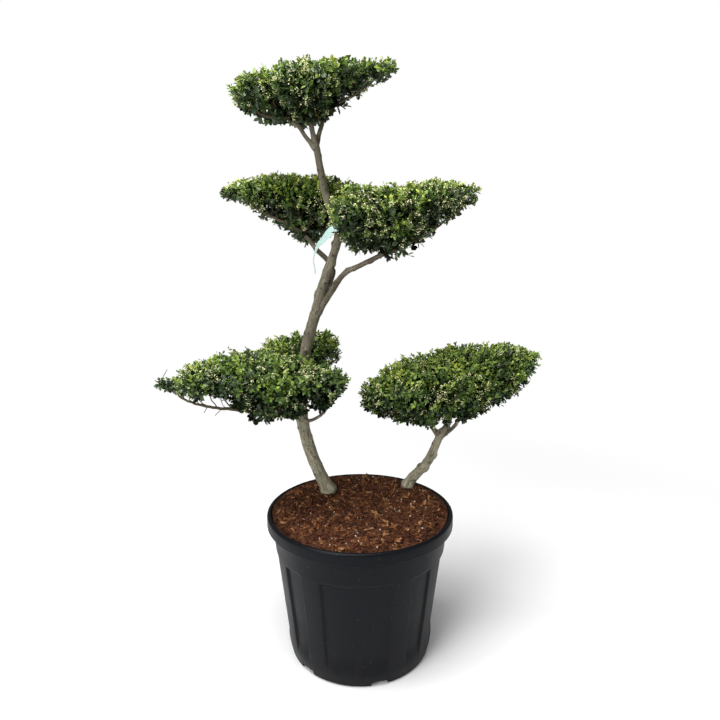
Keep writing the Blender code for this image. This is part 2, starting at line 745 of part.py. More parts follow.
def leaf_shape(root, way, across, length):
    """Verts and faces of a thick pointed leaf with a keel below."""
    up = way.cross(across).normalized()
    middle = root + way * length * 0.5
    half = length * LEAF_WIDTH * 0.5
    verts = [root, middle + across * half, middle - across * half,
             middle - up * length * LEAF_THICKNESS, root + way * length]
    faces = [(0, 1, 2), (0, 3, 1), (0, 2, 3), (4, 2, 1), (4, 1, 3), (4, 3, 2)]
    return verts, faces


def leaf_fits(name, verts, samples):
    """True where a leaf's corners and the points half-way between them are free."""
    points = verts[1:] + [a.lerp(b, 0.5) for a, b in itertools.combinations(verts, 2)]
    return all(is_free(name, point, samples, LEAF_LIMIT) for point in points)


def shoot_leaves(name, tip, way, samples, rng):
    """The leaves round one shoot's tip, each kept inside the cloud's space."""
    made = []
    side = way.orthogonal().normalized()
    other = way.cross(side)
    turn = rng.uniform(0.0, math.tau)
    for k in range(LEAVES_PER_SHOOT + 1):
        root = tip - way * (LEAF_SINK + k * LEAF_SPACING)
        turn += GOLDEN_ANGLE
        spread = side * math.cos(turn) + other * math.sin(turn)
        length = LEAF_LENGTH * rng.uniform(0.90, 1.10)
        lean = END_LEAF_LEAN if k == 0 else LEAF_LEAN
        for _ in range(LEAF_TRIES):
            aim = (way * math.cos(lean) + spread * math.sin(lean)).normalized()
            across = aim.cross(way).normalized()
            verts, faces = leaf_shape(root, aim, across, length)
            if leaf_fits(name, verts, samples):
                made.append(new_object("leaf", verts, faces))
                break
            if k == 0:
                length *= END_LEAF_SHRINK
            else:
                lean += LEAF_LEAN_STEP
                length *= LEAF_SHRINK
    return made


def build_cloud(name, finish, samples):
    """One cloud: its core, its twigs and its leaves, joined into one body."""
    rng = random.Random(f"{SEED}{name}")
    cloud = CLOUDS[name]
    bough = next(limb for limb in LIMBS if limb.name == cloud.bough)
    points, radii = limb_path(bough)
    heading = directions(points)[-1]
    foot = points[-1] + heading * GAP
    nodes, parents, ends = grow_tree(name, foot, heading, samples, rng)
    widths = twig_radii(parents, radii[-1] * STEM_SHARE)
    pieces = [build_core(name, samples, rng)]
    for index, run in enumerate(strands(parents, widths)):
        line = [nodes[i] for i in run]
        sizes = [widths[i] for i in run]
        sizes[0] = min(sizes[0], sizes[1] * 1.2)
        if not runs_clear(line[1:], sizes[1:], samples):
            ends = [end for end in ends if end not in run]
            continue
        sides = STEM_SIDES if index == 0 else TWIG_SIDES
        pieces.append(new_object("twig", *tube(line, sizes, sides)))
    for end in ends:
        way = (nodes[end] - nodes[parents[end]]).normalized()
        pieces += shoot_leaves(name, nodes[end], way, samples, rng)
    body = pieces[0]
    body.name = name
    boolean(body, pieces[1:], "UNION")
    body.data.materials.clear()
    body.data.materials.append(finish)


def build_strip(finish):
    """The blank plastic strip, flat against the stem and edge-on at its end.

    Both sides are split along the same diagonals, so that they stay apart as it twists.
    """
    points, _ = smooth_path(STRIP_GUIDES, [0.0] * len(STRIP_GUIDES), STRIP_STEP)
    ways = directions(points)
    last = len(points) - 1
    verts = []
    for i, (point, way) in enumerate(zip(points, ways)):
        twist = STRIP_TWIST * min(1.0, STRIP_TWIST_RATE * i / last)
        flat = Vector((0.0, -1.0, 0.0)).cross(way).normalized()
        back = way.cross(flat).normalized()
        across = flat * math.cos(twist) + back * math.sin(twist)
        normal = way.cross(across).normalized()
        for a, b in ((-1, -1), (1, -1), (1, 1), (-1, 1)):
            verts.append(point + across * (a * STRIP_WIDTH / 2) + normal * (b * STRIP_THICKNESS / 2))
    faces = [(0, 1, 2, 3), tuple(4 * last + k for k in range(4))]
    for low in range(0, 4 * last, 4):
        for a, b in ((0, 1), (3, 2), (1, 2), (0, 3)):
            faces.append((low + a, low + b, low + 4 + b))
            faces.append((low + a, low + 4 + b, low + 4 + a))
    return new_object("label_strip", verts, faces, finish)


def smooth_round_pieces():
    """Shades the round pieces smooth and keeps their edges sharp."""
    for item in bpy.context.scene.objects:
        if item.name.startswith(("pot", "soil", "main", "side", "bough")):
            item.data.shade_smooth()
            item.data.set_sharp_from_angle(angle=SHARP_ANGLE)


def build():
    """Clears the scene and models the plant and its pot."""
    for item in list(bpy.data.objects):
        bpy.data.objects.remove(item, do_unlink=True)
    finishes = {
        "stem": material("Grey bark", (0.24, 0.21, 0.17), 0.85),
        "bough": material("Brown bark", (0.17, 0.13, 0.09), 0.85),
        "pot": material("Black plastic", (0.025, 0.027, 0.030), 0.45),
        "soil": material("Bark mulch", (0.12, 0.075, 0.045), 0.95),
        "strip": material("Pale plastic strip", (0.62, 0.80, 0.78), 0.40),
    }
    build_pot(finishes["pot"])
    build_soil(finishes["soil"])
    build_limbs(finishes)
    build_strip(finishes["strip"])
    samples = limb_samples()
    for index, name in enumerate(CLOUDS):
        tone = 0.05 + 0.006 * index
        leaf = material(f"Holly leaves {index + 1}", (tone, tone * 2.4, tone * 0.6), 0.40)
        build_cloud(name, leaf, samples)
    smooth_round_pieces()


build()
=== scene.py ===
import math
import random

import bmesh
import bpy
import numpy as np
from mathutils import Matrix, Vector, noise


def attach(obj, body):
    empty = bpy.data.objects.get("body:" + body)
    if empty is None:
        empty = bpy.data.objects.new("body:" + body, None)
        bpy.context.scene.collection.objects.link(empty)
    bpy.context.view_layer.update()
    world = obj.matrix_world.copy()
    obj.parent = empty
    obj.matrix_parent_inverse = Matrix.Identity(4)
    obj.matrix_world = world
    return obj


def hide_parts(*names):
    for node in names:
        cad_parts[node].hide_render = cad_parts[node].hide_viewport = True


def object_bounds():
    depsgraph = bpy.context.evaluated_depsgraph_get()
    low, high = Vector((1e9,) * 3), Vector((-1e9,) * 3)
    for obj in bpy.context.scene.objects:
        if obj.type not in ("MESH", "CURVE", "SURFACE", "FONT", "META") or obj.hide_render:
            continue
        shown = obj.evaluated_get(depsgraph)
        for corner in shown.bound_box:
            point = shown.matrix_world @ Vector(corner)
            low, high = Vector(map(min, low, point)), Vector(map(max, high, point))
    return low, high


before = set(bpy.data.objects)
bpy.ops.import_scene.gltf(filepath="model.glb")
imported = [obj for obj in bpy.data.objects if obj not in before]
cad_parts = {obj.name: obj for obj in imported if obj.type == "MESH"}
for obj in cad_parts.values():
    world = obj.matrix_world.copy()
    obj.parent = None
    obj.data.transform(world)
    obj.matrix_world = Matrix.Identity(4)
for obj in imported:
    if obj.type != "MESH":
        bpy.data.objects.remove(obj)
cadBox = [list(corner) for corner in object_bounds()]
print("frame loaded")


# Helpers for colours, nodes, objects and meshes
def linear(hexColour):
    values = [int(hexColour[i:i + 2], 16) / 255.0 for i in (1, 3, 5)]
    return [v / 12.92 if v <= 0.04045 else ((v + 0.055) / 1.055) ** 2.4 for v in values] + [1.0]


def addNode(tree, kind, values=None, output=0, **settings):
    node = tree.nodes.new("ShaderNode" + kind)
    for name, value in settings.items():
        setattr(node, name, value)
    for name, value in (values or {}).items():
        if isinstance(value, bpy.types.NodeSocket):
            tree.links.new(value, node.inputs[name])
        else:
            node.inputs[name].default_value = value
    return node.outputs[output] if node.outputs else None


def newMaterial(name):
    made = bpy.data.materials.new(name)
    made.use_nodes = True
    made.node_tree.nodes.clear()
    return made, made.node_tree, addNode(made.node_tree, "TexCoord", output="Object")


def addObject(name, data):
    data.name = name
    made = bpy.data.objects.new(name, data)
    bpy.context.scene.collection.objects.link(made)
    return made


def addPiece(name, mesh, finishes, nodes=()):
    for finish in finishes:
        mesh.materials.append(finish)
    piece = addObject(name, mesh)
    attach(piece, "root")
    if nodes:
        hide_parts(*nodes)
    return piece


def meshFromWork(work, sharpAngle=None):
    mesh = bpy.data.meshes.new("work")
    work.to_mesh(mesh)
    work.free()
    mesh.shade_smooth()
    if sharpAngle is not None:
        mesh.set_sharp_from_angle(angle=math.radians(sharpAngle))
    return mesh


def meshFromArrays(points, faces, tints=None, smooth=True):
    mesh = bpy.data.meshes.new("arrays")
    count, corners = faces.shape
    mesh.vertices.add(len(points))
    mesh.vertices.foreach_set("co", points.astype(np.float32).ravel())
    mesh.loops.add(count * corners)
    mesh.loops.foreach_set("vertex_index", faces.astype(np.int32).ravel())
    mesh.polygons.add(count)
    mesh.polygons.foreach_set("loop_start", np.arange(0, count * corners, corners, dtype=np.int32))
    if tints is not None:
        mesh.polygons.foreach_set("material_index", tints.astype(np.int32))
    mesh.update(calc_edges=True)
    mesh.validate()
    if smooth:
        mesh.shade_smooth()
    return mesh


def meshOfCopies(points, faces, tints, smooth=True):
    # many small copies of a shape: the points and the tint of each copy, and the faces of one
    count, corners = points.shape[:2]
    every = (np.array(faces)[None] + corners * np.arange(count)[:, None, None]).reshape(-1, 3)
    return meshFromArrays(points.reshape(-1, 3), every, np.repeat(tints, len(faces)), smooth)


def extrudeOn(work, edges):
    # one step on from some edges: the new vertices, and the new edges between them
    grown = bmesh.ops.extrude_edge_only(work, edges=edges)["geom"]
    fresh = [item for item in grown if isinstance(item, bmesh.types.BMVert)]
    held = set(fresh)
    return fresh, [item for item in grown if isinstance(item, bmesh.types.BMEdge)
                   and held.issuperset(item.verts)]


def nextRing(ring, fresh):
    # the new vertices in the order of the ring that they were extruded from
    held = set(fresh)
    return [next(e.other_vert(v) for e in v.link_edges if e.other_vert(v) in held) for v in ring]


# Camera at the photograph's place: a little above the middle of the plant, looking down 10 degrees
cameraView = {"place": (0.0, -1.409, 1.037), "tilt": 80.0, "lens": 28.0, "sensor": 36.0, "nearest": 0.01}


def placeCamera():
    lens = bpy.data.cameras.new("plant camera")
    lens.lens = cameraView["lens"]
    lens.sensor_width = cameraView["sensor"]
    lens.clip_start = cameraView["nearest"]
    camera = addObject("plant camera", lens)
    camera.location = cameraView["place"]
    camera.rotation_euler = (math.radians(cameraView["tilt"]), 0.0, 0.0)
    bpy.context.scene.camera = camera


placeCamera()


# Pot: black polypropylene, injection moulded. Satin, slightly blue-grey, with soil dust low on
# the wall, a few pale flecks, and a fine orange-peel from the mould.
potShape = {
    "steps": 480, "rimHeight": 0.387, "rimRadius": 0.246, "rimInner": 0.236, "rimBand": 0.031,
    "rimRound": 0.006, "rimBevel": 0.0015, "rimSoft": 0.0012, "lip": ((0.006, 0.011), (0.007, 0.014)),
    "wallTop": 0.232, "wallFoot": 0.194, "wallFootHeight": 0.030, "sag": 0.0005,
    "base": 0.184, "baseRing": 0.12, "baseRound": 0.004, "floor": 0.005, "innerFoot": 0.181,
    "innerShoulder": 0.2205, "innerShoulderHeight": 0.340, "sharpAngle": 32.0,
    "panelDepth": 0.0056, "panelTop": 0.293, "panelTopFade": 0.007, "panelFoot": (0.038, 0.080),
    "panelTurn": -2.4, "panelGroups": 4, "widePanel": 45.0, "narrowPanel": 15.0, "panelEdge": 0.9,
    "notches": 6, "notchTurn": 15.0, "notchWidth": 0.052, "notchHeight": 0.015, "notchDepth": 0.03,
    "notchTop": 0.76, "notchRound": 0.003, "notchOut": 0.005,
    "black": "#05070a", "blackLight": "#0a0d13", "dust": "#3a332a", "fleck": "#a89c8a",
}


def potPlastic():
    p = potShape
    made, tree, place = newMaterial("Black polypropylene")
    height = addNode(tree, "SeparateXYZ", {"Vector": place}, "Z")
    patches = addNode(tree, "TexNoise", {"Vector": place, "Scale": 7.0, "Detail": 6.0, "Roughness": 0.62})
    grain = addNode(tree, "TexNoise", {"Vector": place, "Scale": 650.0, "Detail": 2.0})
    streakPlace = addNode(tree, "Mapping", {"Vector": place, "Scale": (60.0, 60.0, 5.0)})
    streaks = addNode(tree, "TexNoise", {"Vector": streakPlace, "Scale": 1.0, "Detail": 4.0,
                                         "Roughness": 0.7})
    low = addNode(tree, "MapRange", {"Value": height, "From Max": 0.16, "To Min": 0.26, "To Max": 0.01})
    settled = addNode(tree, "MapRange", {"Value": streaks, "From Min": 0.42, "From Max": 0.78})
    dusty = addNode(tree, "Math", {0: low, 1: settled}, operation="MULTIPLY")
    cells = addNode(tree, "TexVoronoi", {"Vector": place, "Scale": 95.0})
    flecks = addNode(tree, "MapRange", {"Value": cells, "From Min": 0.055, "From Max": 0.035, "To Max": 0.55})
    colour = linear(p["black"])
    for share, paint in ((patches, "blackLight"), (dusty, "dust"), (flecks, "fleck")):
        colour = addNode(tree, "Mix", {0: share, 6: colour, 7: linear(p[paint])}, 2, data_type="RGBA")
    gloss = addNode(tree, "MapRange", {"Value": patches, "From Min": 0.3, "From Max": 0.7,
                                       "To Min": 0.34, "To Max": 0.50})
    rough = addNode(tree, "Math", {0: gloss, 1: dusty}, operation="ADD")
    bump = addNode(tree, "Bump", {"Height": grain, "Strength": 0.10, "Distance": 0.0006})
    shader = addNode(tree, "BsdfPrincipled", {"Base Color": colour, "Roughness": rough, "IOR": 1.49,
                                              "Specular IOR Level": 0.11, "Normal": bump})
    addNode(tree, "OutputMaterial", {"Surface": shader})
    return made


def softStep(value, low, high):
    share = min(max((value - low) / (high - low), 0.0), 1.0)
    return share * share * (3.0 - 2.0 * share)


def panelDepthAt(angle, height):
    p = potShape
    group = 360.0 / p["panelGroups"]
    turned = (math.degrees(angle) - p["panelTurn"]) % group
    fromWide, fromNarrow = min(turned, group - turned), abs(turned - group / 2.0)
    edge = p["panelEdge"]
    wide = 1.0 - softStep(fromWide, p["widePanel"] / 2.0 - edge, p["widePanel"] / 2.0 + edge)
    narrow = 1.0 - softStep(fromNarrow, p["narrowPanel"] / 2.0 - edge, p["narrowPanel"] / 2.0 + edge)
    upright = softStep(height, *p["panelFoot"])
    upright *= 1.0 - softStep(height, p["panelTop"] - p["panelTopFade"], p["panelTop"])
    return p["panelDepth"] * max(wide, narrow) * upright


def makePot():
    p = potShape
    bandFoot = p["rimHeight"] - p["rimBand"]
    slope = (p["wallTop"] - p["wallFoot"]) / (bandFoot - p["wallFootHeight"])

    def wallAt(height):
        return p["wallFoot"] + slope * (height - p["wallFootHeight"])

    start = (p["base"] + p["baseRound"], p["baseRound"])
    profile = [(0.0, 0.0), (p["baseRing"], 0.0), (p["base"], 0.0), start]
    heights = [0.010, 0.018, 0.026, 0.034]  # closer together where the panels begin and end
    heights += [0.042 + 0.010 * i for i in range(5)] + [0.10 + 0.026 * i for i in range(8)]
    heights += [0.284, 0.2865, 0.289, 0.2915, 0.294, 0.300, 0.325, bandFoot - 0.004]
    for height in heights:
        share = (height - start[1]) / (p["wallFootHeight"] - start[1])
        radius = wallAt(height) if share >= 1.0 else start[0] + share * (p["wallFoot"] - start[0])
        profile.append((radius, height))
    profile += [(wallAt(bandFoot), bandFoot - 0.001), (wallAt(bandFoot) + 0.002, bandFoot),
                (p["rimRadius"] - p["rimBevel"], bandFoot), (p["rimRadius"], bandFoot + p["rimBevel"]),
                (p["rimRadius"], bandFoot + 0.012)]
    middle = (p["rimRadius"] - p["rimRound"], p["rimHeight"] - p["rimRound"])
    for i in range(7):
        turn = math.radians(90.0) * i / 6
        profile.append((middle[0] + p["rimRound"] * math.cos(turn),
                        middle[1] + p["rimRound"] * math.sin(turn)))
    inner, top = p["rimInner"], p["rimHeight"]
    profile += [(inner + p["rimSoft"], top), (inner, top - p["rimSoft"])]
    profile += [(inner - inward, top - down) for inward, down in p["lip"]]
    profile += [(p["innerShoulder"], p["innerShoulderHeight"]), (p["innerFoot"], p["floor"]),
                (0.0, p["floor"])]
    work = bmesh.new()
    line = [work.verts.new((0.0, -radius, height)) for radius, height in profile]
    for a, b in zip(line, line[1:]):
        work.edges.new((a, b))
    bmesh.ops.spin(work, geom=work.verts[:] + work.edges[:], cent=(0, 0, 0), axis=(0, 0, 1),
                   angle=math.tau, steps=p["steps"], use_merge=True)
    bmesh.ops.remove_doubles(work, verts=work.verts[:], dist=0.00002)
    for vert in work.verts:
        radius = math.hypot(vert.co.x, vert.co.y)
        if radius > wallAt(vert.co.z) - 0.0005 and 0.034 < vert.co.z < p["panelTop"] + 0.001:
            depth = panelDepthAt(math.atan2(vert.co.x, -vert.co.y), vert.co.z)
            sag = p["sag"] * noise.noise(vert.co * 9.0)  # thin wall, never quite true
            vert.co.x *= 1.0 + (sag - depth) / radius
            vert.co.y *= 1.0 + (sag - depth) / radius
    bmesh.ops.recalc_face_normals(work, faces=work.faces[:])
    bmesh.ops.triangulate(work, faces=work.faces[:])
    pot = addPiece("pot_shell", meshFromWork(work, p["sharpAngle"]), [potPlastic()], ["pot"])
    cutNotches(pot)


def cutNotches(pot):
    p = potShape
    work = bmesh.new()
    for i in range(p["notches"]):
        others = set(work.verts)
        made = bmesh.ops.create_cube(work, size=1.0)["verts"]
        bmesh.ops.scale(work, verts=made, vec=(p["notchWidth"], p["notchDepth"], 2.0 * p["notchHeight"]))
        upper = [vert for vert in made if vert.co.z > 0.0]
        bmesh.ops.scale(work, verts=upper, vec=(p["notchTop"], 1.0, 1.0))
        bmesh.ops.bevel(work, geom=list({e for v in upper for e in v.link_edges if e.other_vert(v) in upper}),
                        offset=p["notchRound"], segments=3, affect="EDGES", profile=0.5, material=-1)
        wedge = [vert for vert in work.verts if vert not in others]
        bmesh.ops.translate(work, verts=wedge, vec=(0.0, -p["base"] - p["notchOut"], 0.0))
        turn = math.radians(p["notchTurn"] + 360.0 / p["notches"] * i)
        bmesh.ops.rotate(work, verts=wedge, cent=(0, 0, 0), matrix=Matrix.Rotation(turn, 3, "Z"))
    cutter = addObject("notch cutter", meshFromWork(work))
    step = pot.modifiers.new("Notches", "BOOLEAN")
    step.operation = "DIFFERENCE"
    step.solver = "EXACT"
    step.object = cutter
    cut = bpy.data.meshes.new_from_object(pot.evaluated_get(bpy.context.evaluated_depsgraph_get()))
    pot.modifiers.clear()
    pot.data = cut
    bpy.data.objects.remove(cutter)


makePot()
print("pot made")


# Growing medium: shredded bark and coir with white perlite, loose and a little mounded.
soilShape = {
    "edgeRadius": 0.2262, "edgeHeight": 0.3745, "crownRadius": 0.205, "crown": 0.3925,
    "foot": 0.30, "footShare": 0.955, "rings": 84, "steps": 320, "spread": 0.030, "seed": 21,
    "lump": 0.0060, "clod": 0.0080, "clodSize": 0.019, "backRise": 0.0125,
    "toneSteps": (-0.25, 0.75, 2.1), "chips": 5000, "chipTilt": 0.48, "chipLift": (-0.0005, 0.0030),
    "chipLength": (0.005, 0.024), "chipWidth": (0.0022, 0.0074), "chipThick": (0.0010, 0.0028),
    "fibres": 750, "fibreTilt": 0.22, "fibreLength": (0.010, 0.030), "fibreThick": (0.00025, 0.00055),
    "fibreBow": 0.14, "fibreLift": 0.0022,
    "perlite": 140, "perliteSize": (0.0009, 0.0024), "perliteLift": 0.0016,
    "dark": "#220d05", "mid": "#5a341c", "warm": "#84552f", "pale": "#a27c58", "white": "#f4f0e6",
}


def soilHeight(x, y, reliefOnly=False):
    s = soilShape
    radius = math.hypot(x, y)
    edge = s["edgeHeight"] + s["backRise"] * softStep(y, -0.19, 0.02)  # heaped behind and at the sides
    mound = s["crown"] - (s["crown"] - edge) * softStep(radius, s["crownRadius"] * 0.93, s["edgeRadius"])
    mound += 0.003 * (1.0 - (radius / s["edgeRadius"]) ** 2)
    fade = 1.0 - softStep(radius, s["edgeRadius"] - 0.010, s["edgeRadius"])
    lumps = noise.fractal(Vector((x, y, 0.0)) * 34.0, 0.9, 2.1, 4)
    crumbs = abs(noise.noise(Vector((x, y, 3.0)) * 130.0))
    warped = Vector((x, y, 0.0)) + 0.004 * noise.noise_vector(Vector((x, y, 5.0)) * 90.0)
    near, far = noise.voronoi(warped / s["clodSize"])[0][:2]
    clods = s["clod"] * min(1.0, 1.6 * (far - near)) * (0.6 + 0.8 * noise.noise(Vector((x, y, 9.0)) * 45.0))
    relief = s["lump"] * 0.55 * lumps + 0.0022 * crumbs + clods - 0.0062
    return relief if reliefOnly else mound + relief * (0.3 + 0.7 * fade)


def soilSpread(x, y):
    share = min(1.0, math.hypot(x, y) / soilShape["edgeRadius"])
    return 1.0 + soilShape["spread"] * share**4 * softStep(y, -0.19, 0.02)


def bulkMaterial(name, dark, light, scale, rough=0.9):
    made, tree, place = newMaterial(name)
    mottle = addNode(tree, "TexNoise", {"Vector": place, "Scale": scale, "Detail": 5.0, "Roughness": 0.7})
    share = addNode(tree, "MapRange", {"Value": mottle, "From Min": 0.33, "From Max": 0.68})
    colour = addNode(tree, "Mix", {0: share, 6: linear(dark), 7: linear(light)}, 2, data_type="RGBA")
    fibre = addNode(tree, "TexNoise", {"Vector": place, "Scale": scale * 6.0, "Detail": 3.0})
    bump = addNode(tree, "Bump", {"Height": fibre, "Strength": 0.5, "Distance": 0.0008})
    shader = addNode(tree, "BsdfPrincipled", {"Base Color": colour, "Roughness": rough,
                                              "Specular IOR Level": 0.25, "Normal": bump})
    addNode(tree, "OutputMaterial", {"Surface": shader})
    return made


def makeSoil():
    s = soilShape
    work = bmesh.new()
    ring = bmesh.ops.create_circle(work, segments=s["steps"], radius=s["edgeRadius"] / s["rings"])["verts"]
    bmesh.ops.contextual_create(work, geom=ring)
    edges = work.edges[:]
    for i in range(2, s["rings"] + 1):
        ring, edges = extrudeOn(work, edges)
        bmesh.ops.scale(work, verts=ring, vec=(i / (i - 1.0), i / (i - 1.0), 1.0))
    for vert in work.verts:
        vert.co.z = soilHeight(vert.co.x, vert.co.y)
        vert.co.xy *= soilSpread(vert.co.x, vert.co.y)
    ring, edges = extrudeOn(work, edges)
    for vert in ring:
        vert.co.z = s["foot"]
        vert.co.x *= s["footShare"]
        vert.co.y *= s["footShare"]
    bmesh.ops.contextual_create(work, geom=ring)
    bmesh.ops.recalc_face_normals(work, faces=work.faces[:])
    base = bulkMaterial("Composted bark", s["dark"], s["mid"], 60.0)
    addPiece("soil_bed", meshFromWork(work), [base], ["soil"])


def scatterPlaces(rng, count, limit):
    reach = limit * np.sqrt(rng.random(count))
    turn = rng.random(count) * math.tau
    places = np.stack([reach * np.cos(turn), reach * np.sin(turn), np.zeros(count)], axis=1)
    places[:, 2] = [soilHeight(x, y) for x, y in places[:, :2]]
    places[:, :2] *= [[soilSpread(x, y)] for x, y in places[:, :2]]
    return places


def randomFrames(rng, count, tilt):
    turn = rng.random(count) * math.tau
    dip = rng.normal(0.0, tilt, count)
    along = np.stack([np.cos(turn) * np.cos(dip), np.sin(turn) * np.cos(dip), np.sin(dip)], axis=1)
    roll = rng.normal(0.0, tilt, count)
    flat = np.stack([-np.sin(turn), np.cos(turn), np.zeros(count)], axis=1)
    up = np.cross(along, flat)
    across = flat * np.cos(roll)[:, None] + up * np.sin(roll)[:, None]
    return along, across, np.cross(along, across)


def makeChips():
    s = soilShape
    rng = np.random.default_rng(s["seed"])
    count = s["chips"]
    places = scatterPlaces(rng, count, s["edgeRadius"] - 0.006)
    relief = np.array([soilHeight(x, y, True) for x, y in places[:, :2]])
    relief = (relief - relief.mean()) / relief.std()
    frames = randomFrames(rng, count, s["chipTilt"])
    length = rng.uniform(*s["chipLength"], count) * rng.uniform(0.6, 1.0, count)
    sizes = (length, rng.uniform(*s["chipWidth"], count), rng.uniform(*s["chipThick"], count))
    corner = np.array([(-1, -1, -1), (1, -0.7, -1), (1, 0.6, -1), (-1, 1, -1),
                       (-1, -0.9, 1), (0.9, -0.5, 1), (0.85, 0.7, 1), (-0.9, 0.8, 1)], float)
    shape = corner[None, :, :] * rng.uniform(0.65, 1.15, (count, 8, 3)) * 0.5
    points = places[:, None, :]
    for i, (way, size) in enumerate(zip(frames, sizes)):
        points = points + shape[:, :, i:i + 1] * (way * size[:, None])[:, None, :]
    points[:, :, 2] += rng.uniform(*s["chipLift"], count)[:, None]
    box = [(0, 3, 2), (0, 2, 1), (4, 5, 6), (4, 6, 7), (0, 1, 5), (0, 5, 4),
           (1, 2, 6), (1, 6, 5), (2, 3, 7), (2, 7, 6), (3, 0, 4), (3, 4, 7)]
    level = 0.85 * relief + rng.normal(0.0, 0.75, count)  # dark in the hollows as painted shade, paler on the clods as painted light, with random tone besides
    finishes = [bulkMaterial("Dark bark chips", s["dark"], "#4c2713", 140.0),
                bulkMaterial("Brown bark chips", "#4c2815", s["mid"], 140.0),
                bulkMaterial("Warm coir chips", s["mid"], s["warm"], 140.0),
                bulkMaterial("Pale wood chips", s["warm"], s["pale"], 140.0)]
    mesh = meshOfCopies(points, box, np.digitize(level, s["toneSteps"]), False)
    addPiece("soil_chips", mesh, finishes)


def makeFibres():
    s = soilShape
    rng = np.random.default_rng(s["seed"] + 1)
    count = s["fibres"]
    places = scatterPlaces(rng, count, s["edgeRadius"] - 0.012)
    along, across, up = randomFrames(rng, count, s["fibreTilt"])
    length = rng.uniform(*s["fibreLength"], count)
    thick = rng.uniform(*s["fibreThick"], count)
    bow = rng.normal(0.0, s["fibreBow"], count) * length
    points = np.zeros((count, 4, 3, 3))
    for i, share in enumerate((-0.5, -0.17, 0.17, 0.5)):
        middle = places + along * (share * length)[:, None]
        middle = middle + across * (bow * (1 - 4 * share * share))[:, None]
        middle[:, 2] += s["fibreLift"]
        size = thick * (0.5 if abs(share) == 0.5 else 1.0)
        for k in range(3):
            turn = math.tau * k / 3
            rim = across * math.cos(turn) + up * math.sin(turn)
            points[:, i, k] = middle + rim * size[:, None]
    tube = [(3 * i + k, 3 * i + (k + 1) % 3, 3 * i + 3 + (k + 1) % 3) for i in range(3) for k in range(3)]
    tube += [(3 * i + k, 3 * i + 3 + (k + 1) % 3, 3 * i + 3 + k) for i in range(3) for k in range(3)]
    tube += [(0, 2, 1), (9, 10, 11)]
    tints = rng.choice(2, count, p=[0.55, 0.45])
    finishes = [bulkMaterial("Coir fibres", s["mid"], s["warm"], 90.0),
                bulkMaterial("Dry pale fibres", "#7d5a3a", "#a9855f", 90.0)]
    addPiece("soil_fibres", meshOfCopies(points.reshape(count, 12, 3), tube, tints), finishes)


def makePerlite():
    s = soilShape
    rng = random.Random(s["seed"])
    spots = scatterPlaces(np.random.default_rng(s["seed"] + 2), s["perlite"], s["edgeRadius"] - 0.012)
    work = bmesh.new()
    for place in spots:
        size = rng.uniform(*s["perliteSize"])
        made = bmesh.ops.create_icosphere(work, subdivisions=1, radius=size)["verts"]
        for vert in made:
            vert.co *= rng.uniform(0.7, 1.15)
        bmesh.ops.translate(work, verts=made, vec=Vector(place) + Vector((0, 0, s["perliteLift"])))
    white = bulkMaterial("Perlite", "#b9b1a2", s["white"], 300.0)
    addPiece("soil_perlite", meshFromWork(work, 30.0), [white])


noise.seed_set(soilShape["seed"])  # or the warp of the clods would change with every run
makeSoil()
makeChips()
makeFibres()
makePerlite()
print("soil made")


